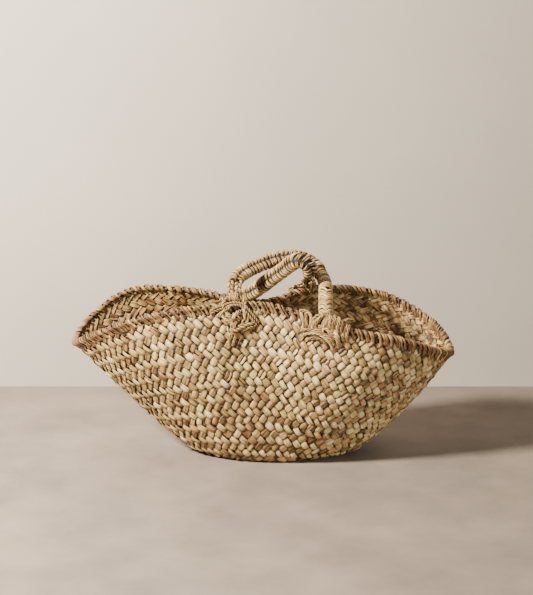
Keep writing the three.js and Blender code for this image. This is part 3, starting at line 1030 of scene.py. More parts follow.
@dataclass(frozen=True)
class OnRim:
    """A spot round the rim near a foot: millimetres along and out from it, and degrees up from outside."""

    along: float
    out: float
    degrees: float

    def place(self, foot: Foot) -> Array:
        """The spot's point in the basket's frame."""
        return foot.round_rim(self.along * MM, self.out * MM, self.degrees)


@dataclass(frozen=True)
class LaidCord:
    """A cord laid through a few given spots near a foot, plain or of two plies."""

    spots: tuple
    radius: float = 1.4
    plies: int = 2
    tone: float = 0.66
    taper: float = 1.0

    def add(self, strands: Strands, foot: Foot) -> None:
        """Adds the cord.

        Args:
            strands: where it goes.
            foot: the foot that its spots are measured from.
        """
        path = flowing([spot.place(foot) for spot in self.spots], 14 * len(self.spots))
        _, side, across = carried(path, foot.out)
        radius = 1.15 * self.radius * MM * np.linspace(1.0, self.taper, len(path))
        run = np.linspace(0, path_length(path), len(path))
        if self.plies == 1:
            for strip in (-1, 0, 1):
                angle = 2 * np.pi * (run / (17 * MM) + strip / 3) + 40 * self.tone
                swing = across * np.cos(angle)[:, None] * 0.62 + side * np.sin(angle)[:, None] * 0.42
                strands.add(path + swing * radius[:, None], side, radius * 0.52, radius * 0.5,
                            tone=self.tone + 0.13 * strip - 0.06, depth=0.95)
            return
        for ply in range(2):
            angle = 2 * np.pi * (run / (self.radius * MM * 5.2) + ply / 2)
            swing = swung(side, across, angle)
            strands.add(path + swing * (radius * 0.48)[:, None], swing, radius * 0.62, radius * 0.56,
                        tone=self.tone + 0.12 * (ply - 0.5), depth=0.95)


class LegStyle(Enum):
    """How a leg is made: two plaits side by side, or one knitted rope."""

    PLAITS = "plaits"
    KNITTED = "knitted"


@dataclass(frozen=True)
class Leg:
    """A leg of a handle, in millimetres from its foot: its style, where it ends, and where the plain
    winding above it gives way to the hitched one."""

    style: LegStyle
    length: float
    hitched_from: float
    radius: float = 8.4


@dataclass
class RopeHandle:
    """A handle: a leg at each foot, and a bar wound with half hitches that meet in a ridge."""

    name: str
    wall: Wall
    material: bpy.types.Material
    feet: tuple[float, float]
    lean: float
    path: tuple
    legs: tuple[Leg, Leg]
    out_sign: int
    ridge: float
    seed: int
    hinge_height: float = 10.3 * MM
    rope_radius: float = 10.5 * MM
    hitch_pitch: float = 5.4 * MM
    plain_pitch: float = 4.1 * MM
    chevron: float = 6.5 * MM
    strand_wide: float = 1.02 * MM
    strand_thick: float = 1.9 * MM
    leg_spread: float = 4.7 * MM

    def __post_init__(self) -> None:
        """Sets the handle's own axes and the middle of its rope."""
        left, right = (self.wall.rim(share) + UP * self.hinge_height for share in self.feet)
        self.along = unit(right - left)
        lean = math.radians(self.lean)
        plane = np.array([0.0, math.sin(lean), math.cos(lean)])
        self.plane = unit(plane - self.along * plane.dot(self.along))
        self.square = np.cross(self.plane, self.along)
        self.middle = (left + right) / 2
        half = float(np.linalg.norm(right - left)) / 2 / MM
        local = [(-half, 0, 0), *self.path, (half, 0, 0)]
        self.rope = np.stack([self.place(*point) for point in flowing(local, 900)])
        self.length = path_length(self.rope)
        self.hinges = left, right
        self.carried = carried(self.rope, self.square)
        self.chance = np.random.default_rng(self.seed)

    def place(self, x: float, y: float, z: float) -> Array:
        """A point of the handle's own axes, in millimetres, in the basket's frame."""
        return self.middle + (self.along * x + self.square * y + self.plane * z) * MM

    def foot(self, which: int) -> Foot:
        """One of the handle's feet.

        Args:
            which: 0 for the left foot, 1 for the right one.

        Returns:
            The foot.
        """
        out = np.array([0.0, float(self.out_sign), 0.0])
        out = unit(out - self.along * out.dot(self.along))
        return Foot(self.wall, self.feet[which], out, -float(self.out_sign))

    def build(self) -> None:
        """Makes the handle."""
        strands = Strands(f"{self.name}_rope", sides=6, seed=self.seed)
        self._core(strands)
        self._hitches(strands)
        for which, leg in enumerate(self.legs):
            self._plain_winding(strands, which, leg)
            if leg.style is LegStyle.PLAITS:
                self._plaits(strands, which, leg)
            else:
                self._knitting(strands, which, leg)
            self._eye(strands, which)
        piece = strands.make(self.material)
        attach(piece, f"{self.name}_handle")
        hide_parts(f"{self.name}_handle_core", f"{self.name}_handle_wrap")

    def _axes(self, distance: Array) -> tuple[Array, Array, Array]:
        """Reads the rope.

        Args:
            distance: distances along it.

        Returns:
            Its middle and two directions square to it.
        """
        reach = np.linspace(0, self.length, len(self.rope))
        values = (self.rope, self.carried[1], self.carried[2])
        middle, side, across = (
            np.stack([np.interp(distance, reach, value[:, k]) for k in range(3)], -1) for value in values
        )
        return middle, unit(side), unit(across)

    def _around(self, distance: Array, angle: Array, radius: Array) -> tuple[Array, Array]:
        """Points round the rope.

        Args:
            distance: distances along it.
            angle: angles round it.
            radius: distances from its middle.

        Returns:
            The points and their outward directions.
        """
        middle, side, across = self._axes(distance)
        angle = np.broadcast_to(angle, np.shape(distance))
        swing = swung(side, across, angle)
        return middle + swing * np.broadcast_to(radius, np.shape(distance))[:, None], swing

    def _rope_radius(self, distance: Array) -> Array:
        """The rope's radius, from the legs to the hitched bar.

        Args:
            distance: distances along it.

        Returns:
            The radius at each.
        """
        radius = np.full(np.shape(distance), self.rope_radius)
        for leg, reach in zip(self.legs, (distance, self.length - distance)):
            grown = smooth((leg.hitched_from - 5) * MM, (leg.hitched_from + 3) * MM, reach)
            radius = np.minimum(radius, leg.radius * MM + (self.rope_radius - leg.radius * MM) * grown)
        return radius

    def _core(self, strands: Strands) -> None:
        """Adds the core under the winding and the legs, dark in tone and depth as painted shade in the gaps
        between the strands.

        Args:
            strands: where it goes.
        """
        distance = np.linspace(6 * MM, self.length - 6 * MM, 170)
        path, side, _ = self._axes(distance)
        radius = self._rope_radius(distance) - 2.6 * MM
        for leg, reach in zip(self.legs, (distance, self.length - distance)):
            thin = 1.4 if leg.style is LegStyle.PLAITS else 5.4
            grown = smooth((leg.length - 2) * MM, (leg.length + 5) * MM, reach)
            radius = np.minimum(radius, thin * MM + (10 - thin) * MM * grown)
        # the low tone and depth paint the core dark, as shade seen through the gaps
        strands.add(path, side, radius, radius, tone=0.2, depth=0.2)

    def _hitches(self, strands: Strands) -> None:
        """Adds the winding of the bar: pairs of strands that part at the ridge and lean on to the right
        foot on both sides of it.

        Args:
            strands: where it goes.
        """
        chance, steps = self.chance, 40
        start = (self.legs[0].hitched_from - 5) * MM
        run = self.length - start - self.legs[1].hitched_from * MM
        loops = round(run / self.hitch_pitch)
        pitch = run / loops
        turn = np.arange(loops * steps + 1) / steps
        away = 1 - np.abs(((turn % 1.0) * 2) - 1)
        wholes, halves = np.arange(loops + 1), np.arange(2 * loops + 1) / 2
        jitter = wandering(chance, turn, halves, 0, 0.55) * MM
        lean = wandering(chance, turn, wholes, 1, 0.2) * self.chevron
        past = (turn + 0.5) % 1.0 - 0.5
        under = np.exp(-(((past - 0.02) / 0.06) ** 2))
        plump = np.exp(-(((np.abs(past) - 0.14) / 0.08) ** 2))
        for strand in (-1, 1):
            spread = strand * 0.15 * pitch
            distance = start + turn * pitch + jitter + spread + away * lean - self.chevron / 2
            distance = np.clip(distance, 0, self.length)
            swell = wandering(chance, turn, halves, 0, 0.35) * MM
            radius = self._rope_radius(distance) - self.strand_thick + swell
            radius = radius + (1.3 * plump - 2.4 * under - 1.0) * MM
            path, swing = self._around(distance, self.ridge - 2 * np.pi * turn, radius)
            tone = np.clip(wandering(chance, turn, halves, 0.69, 0.19), 0.08, 0.97)
            wide = wandering(chance, turn, wholes, 1, 0.14) * self.strand_wide
            # painted shade: darker between the plump middles of the strokes, and most where they dip at the
            # ridge
            depth = np.clip(0.72 + 0.4 * plump - 0.7 * under, 0, 1)
            strands.add(path, swing, wide * (0.7 + 0.45 * plump), self.strand_thick, tone=tone, depth=depth)

    def _plain_winding(self, strands: Strands, which: int, leg: Leg) -> None:
        """Adds the close winding between a leg and the hitched bar, where there is some.

        Args:
            strands: where it goes.
            which: 0 for the left side, 1 for the right one.
            leg: the leg.
        """
        run = (leg.hitched_from - leg.length) * MM
        loops = round(run / self.plain_pitch)
        if loops < 2:
            return
        turn = np.arange(loops * 20 + 1) / 20
        wholes, halves = np.arange(loops + 1), np.arange(2 * loops + 1) / 2
        reach = leg.length * MM + turn / loops * run
        reach = reach + wandering(self.chance, turn, wholes, 0, 0.25) * MM
        distance = reach if which == 0 else self.length - reach
        swell = wandering(self.chance, turn, wholes, 0, 0.2) * MM
        radius = self._rope_radius(distance) - 1.4 * MM + swell
        slanted = distance + 1.9 * MM * np.sin(2 * np.pi * turn - self.ridge)
        path, swing = self._around(slanted, 2 * np.pi * turn, radius)
        tone = wandering(self.chance, turn, halves, 0.68, 0.18)
        wide = wandering(self.chance, turn, wholes, 1.75, 0.25) * MM
        strands.add(path, swing, wide, 1.5 * MM, tone=np.clip(tone, 0.08, 0.95), depth=0.95)

    def _plaits(self, strands: Strands, which: int, leg: Leg) -> None:
        """Adds two plaits of three strands side by side.

        Args:
            strands: where they go.
            which: 0 for the left leg, 1 for the right one.
            leg: the leg.
        """
        reach = np.linspace(2 * MM, (leg.length + 9) * MM, 130)
        middle, square, across = self._axes(reach if which == 0 else self.length - reach)
        shown = 0.4 + 0.6 * smooth(0, 12 * MM, reach)
        hidden = smooth((leg.length + 9) * MM, (leg.length + 3) * MM, reach)
        for plait in (-1, 1):
            for ply in range(3):
                phase = 2 * np.pi * (plait * 0.25 + plait * ply / 3 + reach / (29 * MM))
                swing = plait * self.leg_spread + 2.6 * MM * np.sin(phase)
                rise = 2.1 * MM * np.sin(2 * phase)
                swing = swing * shown * (0.7 + 0.3 * hidden)
                offset = across * swing[:, None] + square * (rise * shown)[:, None]
                # painted shade: the plies darken where they lie low between each other
                strands.add(middle + offset, square, 1.95 * MM, 1.35 * MM,
                            tone=float(np.clip(self.chance.normal(0.68, 0.15), 0.3, 0.97)),
                            depth=0.3 + 0.7 * smooth(0.0, 0.75, np.abs(np.sin(2 * phase))))

    def _knitting(self, strands: Strands, which: int, leg: Leg) -> None:
        """Adds strands that part from the leg's front and lean up to both sides.

        Args:
            strands: where they go.
            which: 0 for the left leg, 1 for the right one.
            leg: the leg.
        """
        pitch, t = 4.5 * MM, np.linspace(0, 1, 15)
        front = math.pi
        for row in range(-2, int(leg.length * MM / pitch) - 1):
            for side in (-1, 1):
                reach = (row + 0.25 * (side + 1)) * pitch + 12 * MM * smooth(-0.3, 0.7, t) - 2 * MM
                reach = np.maximum(reach + self.chance.normal(0, 0.5) * MM, 1.5 * MM + t * MM)
                angle = front + side * (2.4 * t - 0.16) + self.chance.normal(0, 0.09)
                radius = (leg.radius - 1.1) * MM * (0.72 + 0.28 * smooth(0, 12 * MM, reach))
                radius = radius - 1.6 * MM * (1 - t) ** 4
                path, swing = self._around(reach if which == 0 else self.length - reach, angle, radius)
                # painted shade: each strand darkens where it leaves the leg's front
                strands.add(path, swing, 1.55 * MM, 1.75 * MM,
                            tone=float(np.clip(self.chance.normal(0.72, 0.12), 0.3, 0.97)),
                            depth=0.55 + 0.45 * smooth(0, 0.2, t))

    def _eye(self, strands: Strands, which: int) -> None:
        """Adds the turns of strand that go round the tie at a foot.

        Args:
            strands: where they go.
            which: 0 for the left foot, 1 for the right one.
        """
        turns, steps = 5, 14
        turn = np.arange(turns * steps + 1) / steps
        angle = 2 * np.pi * turn
        swing = swung(self.square, self.plane, angle)
        drift = (turn / turns - 0.5) * 11 * MM
        radius = (4.0 + 0.4 * np.sin(turn * 2.3 + which)) * MM
        path = self.hinges[which] + self.along * drift[:, None] + swing * radius[:, None]
        tone = wandering(self.chance, turn, np.arange(turns + 1), 0.6, 0.12)
        strands.add(path, swing, 1.35 * MM, 1.15 * MM, tone=tone, depth=0.85)


@dataclass
class Cordwork:
    """What the cords worked round a foot share: the foot, the seed, and the cords laid over the rest."""

    foot: Foot
    name: str
    material: bpy.types.Material
    seed: int
    cords: tuple = ()

    def _made(self, strands: Strands) -> bpy.types.Object:
        """Adds the cords that are laid over the rest.

        Args:
            strands: the strands so far.

        Returns:
            The piece.
        """
        for cord in self.cords:
            cord.add(strands, self.foot)
        return strands.make(self.material)


@dataclass
class FootTie(Cordwork):
    """The tie that a foot turns on, and the cords that are laid over it."""

    reach: float = 13.4
    radius: float = 1.9

    def build(self) -> None:
        """Makes the tie."""
        strands = Strands(f"{self.name}_lashing", sides=6, seed=self.seed)
        reach = self.reach
        spots = [
            OnWall(-reach, 7, -1), OnWall(-reach, 6.6, 3), OnRim(-reach, 7.2, 0), OnRim(-reach, 7.2, 45),
            OnRim(-7.5, 10.3, 88), OnRim(-5, 10.3, 90), OnRim(5, 10.3, 90), OnRim(7.5, 10.3, 88),
            OnRim(reach, 7.2, 45), OnRim(reach, 7.2, 0), OnWall(reach, 6.6, 3), OnWall(reach, 7, -1),
        ]
        LaidCord(tuple(spots), self.radius).add(strands, self.foot)
        piece = self._made(strands)
        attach(piece, "basket")
        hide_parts(f"{self.name}_tie")


@dataclass
class CoiledKnot(Cordwork):
    """A flat coil of cord under a foot, with the cords that are laid over it."""

    turns: float = 2.25
    drop: float = 20
    inner: float = 2.8
    spacing: float = 4.7

    def build(self) -> None:
        """Makes the knot."""
        strands = Strands(f"{self.name}_coil", sides=6, seed=self.seed)
        chance = np.random.default_rng(self.seed)
        turn = np.linspace(0, self.turns, 18)
        radius = self.inner + self.spacing * turn + chance.normal(0, 0.7, len(turn))
        angle = 2 * np.pi * turn
        spots = [
            OnWall(1.5 + r * math.cos(a), self.drop - 0.86 * r * math.sin(a), 2.6 + chance.uniform(-0.6, 1.3))
            for r, a in zip(radius, angle)
        ]
        LaidCord(tuple(spots), 1.75, tone=0.6).add(strands, self.foot)
        for _ in range(7):
            x, d, lean = chance.uniform(-8, 8), self.drop + chance.uniform(-9, 7), chance.uniform(-1.4, 1.4)
            reach = chance.uniform(5, 8)
            spots = [OnWall(x + k * reach * math.cos(lean), d + k * reach * math.sin(lean), off)
                     for k, off in ((-1, 0.5), (-0.45, 5.0), (0.45, 5.4), (1, 0.8))]
            thick, tone = chance.uniform(1.0, 1.5), float(chance.normal(0.72, 0.1))
            LaidCord(tuple(spots), thick, plies=1, tone=tone).add(strands, self.foot)
        piece = self._made(strands)
        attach(piece, "basket")
        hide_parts(f"{self.name}_knot")


@dataclass
class RimLashing(Cordwork):
    """A cord laid to and fro over the rim beside a foot, and the thick loops between it and the leg."""

    start: float = 18
    pitch: float = 4.6
    passes: int = 4

    def build(self) -> None:
        """Makes the lashing."""
        strands = Strands(f"{self.name}_loops", sides=6, seed=self.seed)
        chance = np.random.default_rng(self.seed)
        spots = []
        for index in range(self.passes):
            at = self.start + index * self.pitch
            degrees = (-20, 15, 50, 90, 130, 165)
            radius = 6.3 + chance.uniform(0, 0.9)
            row = [OnRim(at + chance.normal(0, 0.25), radius, d) for d in degrees]
            end = OnRim(at + self.pitch / 2, 6.3, 184 if index % 2 == 0 else -34)
            spots += [*(row if index % 2 == 0 else row[::-1]), end]
        LaidCord(tuple(spots[:-1]), 1.9, plies=1, tone=0.62).add(strands, self.foot)
        piece = self._made(strands)
        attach(piece, "basket")
        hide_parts(f"{self.name}_knot")


@dataclass(frozen=True)
class Fray:
    """A loose end of leaf: where it leaves the weave, which way it stands and how far, in millimetres."""

    near: tuple[float, float, float]
    way: tuple[float, float, float]
    length: float


@dataclass
class LooseEnds:
    """Short frayed ends of leaf that stand off the weave, some listed one by one and the rest scattered."""

    wall: Wall
    material: bpy.types.Material
    frays: tuple[Fray, ...]
    scattered: int = 60
    seed: int = 141

    def build(self) -> None:
        """Makes the loose ends."""
        strands = Strands("loose_leaf_ends", sides=4, seed=self.seed)
        chance = np.random.default_rng(self.seed)
        grid = self.wall.raw.reshape(-1, 3)
        normals = self.wall.raw_normals.reshape(-1, 3)
        for fray in self.frays:
            nearest = int(np.argmin(((grid - np.array(fray.near) * MM) ** 2).sum(axis=1)))
            way, length = unit(np.array(fray.way)), fray.length * MM
            self._end(strands, grid[nearest], way, normals[nearest], length, 0.7)
        for _ in range(self.scattered):
            face = 1.0 if chance.random() < 0.75 else -1.0
            around, drop = np.array(chance.random()), np.array(chance.uniform(0.008, 0.17))
            point, normal = self.wall.by_drop(around, drop)
            way = np.cross(normal, chance.normal(0, 1, 3))
            way = unit(unit(way) + face * normal * chance.uniform(0.35, 0.8))
            start = point + face * normal * 1.7 * MM
            length, tone = chance.uniform(5, 10) * MM, float(chance.uniform(0.3, 0.85))
            self._end(strands, start, way, face * normal, length, tone)
        piece = strands.make(self.material)
        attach(piece, "basket")

    @staticmethod
    def _end(
        strands: Strands, start: Array, way: Array, outward: Array, length: float, tone: float
    ) -> None:
        """Adds one loose end, which narrows to its tip and bends back a little.

        Args:
            strands: where it goes.
            start: where it leaves the weave.
            way: the way it stands.
            outward: the wall's outward direction there.
            length: its length.
            tone: its colour.
        """
        t = np.linspace(-0.15, 1, 9)
        bend = np.cross(way, np.cross(way, outward))
        path = start + way * (length * t)[:, None] + bend * (0.18 * length * t**2)[:, None]
        wide, thick = (0.62 - 0.45 * t) * MM, (0.3 - 0.16 * t) * MM
        strands.add(path, outward + 0.3 * way, wide, thick, tone=tone, depth=1.0)


@dataclass(frozen=True)
class StageFinish:
    """A plain matt finish with faint mottling, darkened to the right as painted light falloff, and one-sided
    if need be.
    """

    name: str
    colour: tuple[float, float, float]
    mottle: float
    scale: float
    painted_falloff: tuple[float, float, float] = WHITE
    one_sided: bool = False
    roughness: float = 0.75

    def build(self) -> bpy.types.Material:
        """Makes the material.

        Returns:
            The material, which lets a view from behind through where it is one-sided.
        """
        material, graph, shader = new_material(self.name)
        place = graph.add("TexCoord", "Object")
        noise = {"Scale": self.scale, "Detail": 8.0, "Roughness": 0.6, "Vector": place}
        dim, bright = (tuple(c * level for c in self.colour) for level in (1 - self.mottle, 1 + self.mottle))
        mottled = graph.ramp(graph.add("TexNoise", "Fac", noise), ((0.3, dim), (0.7, bright)))
        # painted shade: the colour darkens towards the right, standing in for the lamp's falloff
        across = graph.add("SeparateXYZ", "X", {"Vector": place})
        reach = graph.add("MapRange", "Result", {"Value": across, "From Min": -0.25, "From Max": 0.4})
        painted_falloff_colour = graph.ramp(reach, ((0.0, WHITE), (1.0, self.painted_falloff)))
        graph.feed(shader, {"Base Color": graph.multiplied(mottled, painted_falloff_colour), "Roughness": self.roughness})
        if self.one_sided:
            behind = graph.add("NewGeometry", "Backfacing")
            clear = graph.add("BsdfTransparent", "BSDF")
            seen = graph.add("MixShader", "Shader", {"Fac": behind, 1: shader.outputs["BSDF"], 2: clear})
            graph.feed(material.node_tree.nodes["Material Output"], {"Surface": seen})
        return material


@dataclass
class Stage:
    """The floor, the wall behind, the lights and the camera."""

    back: float = 0.26
    backdrop_middle: float = 5.9
    sheet_size: float = 12.0
    floor_level: float = -0.0006
    # the last colour of each finish is its painted falloff, darker to the right
    floor_finish: StageFinish = StageFinish(
        "stage_floor", (0.226, 0.178, 0.138), 0.24, 9.0, (0.77, 0.75, 0.72)
    )
    wall_finish: StageFinish = StageFinish(
        "stage_wall", (0.51, 0.448, 0.372), 0.05, 4.0, (0.79, 0.77, 0.73), one_sided=True
    )
    room_colour: tuple[float, float, float, float] = (0.84, 0.91, 1.0, 1.0)
    room_strength: float = 0.14
    sensor: float = 36.0
    focal_pixels: float = 1533
    photo_height: float = 595
    camera_place: tuple[float, float, float] = (-0.011, -1.888, 0.661)
    camera_dip: float = 13.8

    def build(self) -> None:
        """Makes the stage, the lights and the camera."""
        size = self.sheet_size
        self._sheet("floor", self.floor_finish, (0, 0, self.floor_level), (0, 0, 0), size)
        middle, upright = (0, self.back, self.backdrop_middle), (math.pi / 2, 0, 0)
        self._sheet("backdrop", self.wall_finish, middle, upright, size)
        self._light("key", (-1.07, -0.57, 1.13), (0.02, 0.0, 0.08), 0.25, 114.0, (1.0, 0.945, 0.86))
        self._light("fill", (1.1, -1.5, 0.45), (0.1, 0.0, 0.08), 1.0, 20.0, (0.96, 0.97, 1.0))
        world = bpy.data.worlds.new("room")
        world.use_nodes = True
        light = {"Color": self.room_colour, "Strength": self.room_strength}
        Graph(world.node_tree).feed(world.node_tree.nodes["Background"], light)
        bpy.context.scene.world = world
        self._camera()

    def _sheet(self, name: str, finish: StageFinish, place: tuple, turn: tuple, size: float) -> None:
        """Adds a flat square of the stage.

        Args:
            name: its name.
            finish: its finish.
            place: its middle.
            turn: its turn from lying flat, face up.
            size: its side.
        """
        bpy.ops.object.select_all(action="DESELECT")
        bpy.ops.mesh.primitive_plane_add(size=size, location=place, rotation=turn)
        sheet = bpy.context.object
        sheet.name = name
        bpy.ops.object.transform_apply(location=True, rotation=True, scale=True)
        sheet.data.materials.append(finish.build())
        sheet.select_set(False)

    def _light(self, name: str, place: tuple, aim: tuple, size: float, power: float, colour: tuple) -> None:
        """Adds an area light.

        Args:
            name: its name.
            place: where it hangs.
            aim: the point that it faces.
            size: the side of its square.
            power: its watts.
            colour: its colour.
        """
        data = bpy.data.lights.new(name, "AREA")
        data.size, data.energy, data.color = size, power, colour
        light = bpy.data.objects.new(name, data)
        bpy.context.scene.collection.objects.link(light)
        light.location = place
        light.rotation_euler = (Vector(aim) - Vector(place)).to_track_quat("-Z", "Y").to_euler()

    def _camera(self) -> None:
        """Sets the camera where the photograph was taken from."""
        data = bpy.data.cameras.new("camera")
        data.sensor_width = self.sensor
        data.lens = self.sensor * self.focal_pixels / self.photo_height
        camera = bpy.data.objects.new("camera", data)
        bpy.context.scene.collection.objects.link(camera)
        camera.location = self.camera_place
        camera.rotation_euler = (math.radians(90 - self.camera_dip), 0.0, 0.0)
        bpy.context.scene.camera = camera


FRONT_PATH = (
    (-60.3, 0, 10.8), (-64.1, 0, 26.7), (-63.2, 2, 44.9), (-53.7, 3.5, 64.5), (-36.3, 2.5, 84),
    (-17, 2, 98.2), (1.5, 2.5, 103.2), (18.6, 4, 98), (32.6, 4.5, 85), (43.4, 3.5, 64.1), (49.6, 2.5, 38.9),
)
BACK_PATH = (
    (-35.8, -6.3, 10.7), (-24.9, -11.5, 31), (-12.3, -14.2, 52.4), (0.5, -16.2, 71.9), (11.1, -19.6, 93.1),
    (15.4, -21.8, 98), (21.3, -25.3, 99), (26.2, -28.9, 95.6), (28.2, -31.1, 89.2), (29, -34.6, 68),
    (32.9, -30.4, 45.5), (36.7, -19.8, 22.9),
)
FRONT_LEGS = Leg(LegStyle.PLAITS, 34, 36), Leg(LegStyle.KNITTED, 50, 90)
BACK_LEGS = Leg(LegStyle.PLAITS, 7, 9), Leg(LegStyle.PLAITS, 88, 92, radius=8.2)
LEFT_TIE_CORDS = (
    LaidCord((OnWall(-31, 5, 1), OnRim(-24, 6, 5), OnRim(-15, 6.6, 22), OnRim(-6, 7.1, 40),
              OnRim(2, 7.4, 44), OnRim(10, 7.2, 26), OnWall(16, 4.5, 5), OnWall(21.5, 11, 4),
              OnWall(26, 17, 3), OnWall(30, 21, 0.5))),
    LaidCord((OnWall(-31, 8, 1), OnRim(-22, 6, -22), OnRim(-13, 6.4, -5), OnRim(-5, 6.9, 14),
              OnRim(2, 7.1, 18), OnRim(9, 6.9, 0), OnWall(13, 8, 5), OnWall(18.5, 14.5, 4),
              OnWall(23, 20, 3), OnWall(27, 24, 0.5))),
    LaidCord((OnWall(-19, 3, 2.5), OnRim(-17.5, 6, 35), OnRim(-15.2, 10.5, 84), OnRim(-13.6, 10.5, 84),
              OnRim(-11.5, 6.5, 40), OnWall(-9.5, 3, 3)), 1.2, tone=0.8),
    LaidCord((OnRim(-4, 6.5, 25), OnWall(-9.4, 3.9, 4.5), OnWall(-20.4, 9.6, 3.8), OnWall(-24, 12, 0.5)),
              1.4, 1, 0.8),
    LaidCord((OnRim(-20, 5, 95), OnRim(-24, 8, 70), OnRim(-19, 9, 62), OnRim(-12, 8, 75),
              OnRim(-7, 6, 95)), 1.3, 1),
)
LEFT_KNOT_CORDS = (
    LaidCord((OnWall(-14, 25, 1), OnWall(-11, 29.5, 3.6), OnWall(-4, 31, 4.6), OnWall(4, 28.4, 4.8),
              OnWall(12, 25, 4.2), OnWall(18, 23.3, 3.6), OnWall(23, 22, 1)), 1.9, tone=0.7),
    LaidCord((OnWall(5, 32, 2), OnWall(13, 29, 3.4), OnWall(20, 26.8, 2.6), OnWall(24.5, 25, 0.5)), 1.4),
    LaidCord((OnWall(-13.7, 48, 0.6), OnWall(-12.2, 41, 2), OnWall(-11.5, 37, 2.8),
              OnWall(-8.5, 34.2, 3.4), OnWall(-4.8, 34.2, 3.4), OnWall(-3.4, 37.4, 2.6),
              OnWall(-6, 42.5, 2), OnWall(-10, 49, 0.6)), 1.5, 1, 0.66),
    LaidCord((OnWall(-16.5, 7, 1), OnWall(-16.4, 10, 3), OnWall(-15, 14, 3.4), OnWall(-9.1, 19.2, 4),
              OnWall(-5, 21, 2)), 1.5, 1, 0.85),
    LaidCord((OnWall(10, 5, 4), OnWall(11.5, 9, 6), OnWall(12, 15, 5.5), OnWall(11.5, 19, 2)), 1.4, 1,
              0.8),
    LaidCord((OnWall(15, 9, 2), OnWall(15.8, 13, 4.2), OnWall(15.2, 18, 4), OnWall(14, 21, 1.5)), 1.3, 1,
              0.7),
    LaidCord((OnWall(-9, 22, 2), OnWall(-3, 15, 5.8), OnWall(3, 9.5, 6), OnWall(7, 7, 2)), 1.7, 1, 0.86),
)
RIGHT_TIE_CORDS = (
    LaidCord((OnWall(-30, 18, 0.6), OnWall(-25, 15.5, 3.5), OnWall(-19, 13, 4.2), OnWall(-11.4, 11, 4.8),
              OnWall(-2.4, 10.6, 5.2), OnWall(6, 12.4, 5), OnWall(12, 15.6, 3.6), OnWall(16, 19.5, 0.5)),
              1.8, 1, 0.6),
    LaidCord((OnWall(-27, 23, 0.6), OnWall(-20, 18, 3.2), OnWall(-12, 14.6, 4), OnWall(-4, 14, 4.6),
              OnWall(3, 15.6, 4.4), OnWall(9, 19, 3), OnWall(13, 23, 0.6)), 1.5, 1, 0.82),
    LaidCord((OnWall(-21, 27, 0.6), OnWall(-15, 21.4, 3), OnWall(-8, 18.6, 3.6), OnWall(-1, 19.4, 3.4),
              OnWall(4, 22.5, 2.4), OnWall(7, 26, 0.6)), 1.3, 1, 0.45),
    LaidCord((OnWall(-7, 5, 4), OnWall(2, 4.4, 6.2), OnWall(9, 5.6, 6.2), OnWall(16, 9, 5),
              OnWall(20, 14.5, 3), OnWall(22, 19, 0.6)), 2.1, 1, 0.68),
    LaidCord((OnWall(13, 3, 4), OnWall(17, 6.4, 6.4), OnWall(19, 10, 5), OnWall(19.4, 13, 2)), 2.5, 1,
              0.88),
    LaidCord((OnWall(25, 1, 4), OnWall(25.5, 6, 4.6), OnWall(28, 12, 1)), 1.8, 1, 0.8),
    LaidCord((OnWall(30, 1, 4), OnWall(31, 6, 4.2), OnWall(34, 12, 1)), 1.7, 1, 0.6),
    LaidCord((OnRim(-34, 5.6, 80), OnRim(-28, 7.2, 86), OnRim(-21, 7.2, 62), OnRim(-16.5, 6.6, 22),
              OnWall(-15, 6, 2)), 1.7, 1, 0.66),
    LaidCord((OnRim(-31, 6.2, 50), OnRim(-28, 6.2, 0), OnWall(-26, 9, 3), OnWall(-27, 14, 0.6)), 1.7, 1,
              0.75),
    LaidCord((OnRim(-26, 6.6, 60), OnRim(-23, 6.4, 5), OnWall(-22, 8, 3.4), OnWall(-24, 13, 0.6)), 1.6, 1,
              0.5),
    LaidCord((OnRim(-20, 6.6, 70), OnRim(-17, 6.6, 10), OnWall(-18, 8, 3.4), OnWall(-21, 13.5, 0.6)), 1.4,
              1, 0.7),
)
POUCH = (
    LaidCord((OnRim(1, 12, 96), OnRim(-3, 13.5, 70), OnRim(-8, 11, 36), OnWall(-13, 4.6, 5),
              OnWall(-15, 8.6, 3.6), OnWall(-12, 11.4, 3.4), OnWall(-6, 12.6, 3.4),
              OnWall(-1.5, 9.6, 4.4), OnRim(1, 9, 12), OnRim(3, 12, 56)), 1.7, 1, 0.92),
    LaidCord((OnRim(-1, 12, 92), OnRim(-4.6, 11.6, 56), OnRim(-8, 8.8, 16), OnWall(-10.6, 6.6, 4),
              OnWall(-8, 9.4, 3.6), OnWall(-4.4, 8, 4.2), OnRim(-1.6, 9, 24), OnRim(0, 12, 70)), 1.3, 1,
              0.66),
    LaidCord((OnRim(4, 13, 80), OnRim(2.6, 11.6, 44), OnRim(1, 8.8, 6), OnWall(-0.6, 7, 4.4),
              OnWall(-3, 12, 2)), 1.6, 1, 0.74),
    LaidCord((OnRim(7, 10, 50), OnRim(8, 9.4, 10), OnWall(9, 5, 5.2), OnWall(14, 8.6, 5),
              OnWall(18, 11, 3)), 2.4, 1, 0.4),
    LaidCord((OnRim(5, 10, 40), OnRim(6, 8.8, 4), OnWall(7, 6.4, 5.6), OnWall(11, 10, 5),
              OnWall(15, 13, 2.6)), 2.1, 1, 0.5),
)
CLAWS = tuple(
    LaidCord((OnRim(at - 3, 6.8, 168), OnRim(at - 2, top * 0.92, 122), OnRim(at, top, 84),
              OnRim(at + 2.4, top * 0.86, 46), OnRim(at + 3.2, 8.4, 8), OnWall(at + 3, 4.6, 3.8),
              OnWall(at + 2.2, 7.6, 0.8)), wide, 1, tone)
    for at, top, wide, tone in (
        (4, 12, 1.9, 0.74), (9, 13.2, 2.4, 0.5), (14.6, 12.4, 2.3, 0.7), (19.8, 10.8, 1.9, 0.42),
    )
)
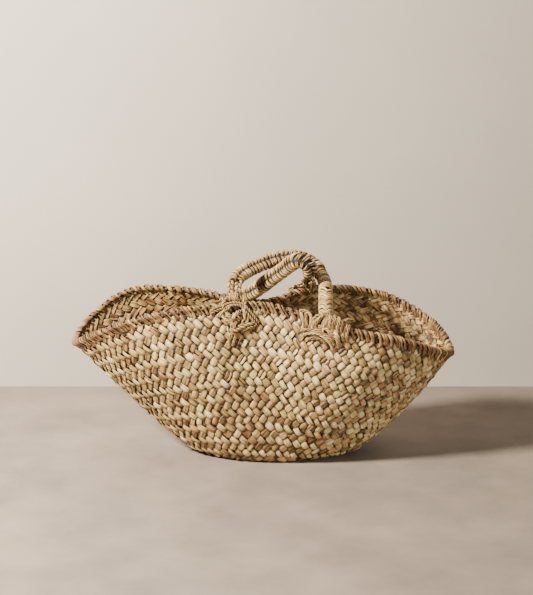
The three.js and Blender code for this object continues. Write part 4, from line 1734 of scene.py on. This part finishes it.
TUFT = tuple(
    LaidCord((OnRim(18 + k, 9, 105), OnRim(23 + k, 12 + 0.7 * k, 100 - 3 * k),
              OnRim(28 + 1.7 * k, 11 + 1.6 * k, 104 - 7 * k)), 0.9, 1, 0.45 + 0.07 * (k % 3), taper=0.35)
    for k in range(6)
)
FRAYS = (
    Fray((-169, 70, 192), (0.4, 0.0, 1.0), 10),
    Fray((-166, 70, 192), (-0.5, -0.2, 1.0), 6),
    Fray((208, 32, 155), (0.6, 0.0, 0.8), 8),
    Fray((212, 26, 152), (1.0, 0.0, 0.25), 11),
    Fray((206, 0, 108), (1.0, -0.2, -0.1), 8),
    Fray((201, 0, 100), (1.0, -0.2, -0.5), 8),
    Fray((105, -52, 5), (0.8, -0.6, 0.1), 10),
    Fray((-194, -10, 80), (-1.0, -0.1, 0.3), 7),
    Fray((-138, -20, 22), (-1.0, -0.3, -0.2), 7),
)


def main() -> None:
    """Builds the basket piece by piece, then the stage."""
    logging.basicConfig(level=logging.INFO, format="%(name)s %(message)s")
    Stage().build()
    wall = Wall()
    leaf, cord = LEAF_FINISH.build(), CORD_FINISH.build()
    PlaitedStart(wall, leaf).build()
    PlaitedWall(wall, leaf).build()
    CordedRim(wall, cord).build()
    LooseEnds(wall, leaf, FRAYS).build()
    front = RopeHandle("front", wall, cord, (0.7225, 0.7968), 64, FRONT_PATH, FRONT_LEGS, -1, 3.66, 71)
    back = RopeHandle("back", wall, cord, (0.265, 0.1985), -47, BACK_PATH, BACK_LEGS, 1, 1.92, 81)
    for handle in (front, back):
        handle.build()
        for which, side in enumerate(("left", "right")):
            foot, name = handle.foot(which), f"{handle.name}_{side}"
            lashed = name == "front_right"
            tie_cords = RIGHT_TIE_CORDS + POUCH if lashed else LEFT_TIE_CORDS
            FootTie(foot, name, cord, seed=101 + which, cords=tie_cords).build()
            if lashed:
                RimLashing(foot, name, cord, seed=121, cords=CLAWS + TUFT).build()
            else:
                CoiledKnot(foot, name, cord, seed=111 + which, cords=LEFT_KNOT_CORDS).build()


if __name__ == "__main__":
    main()
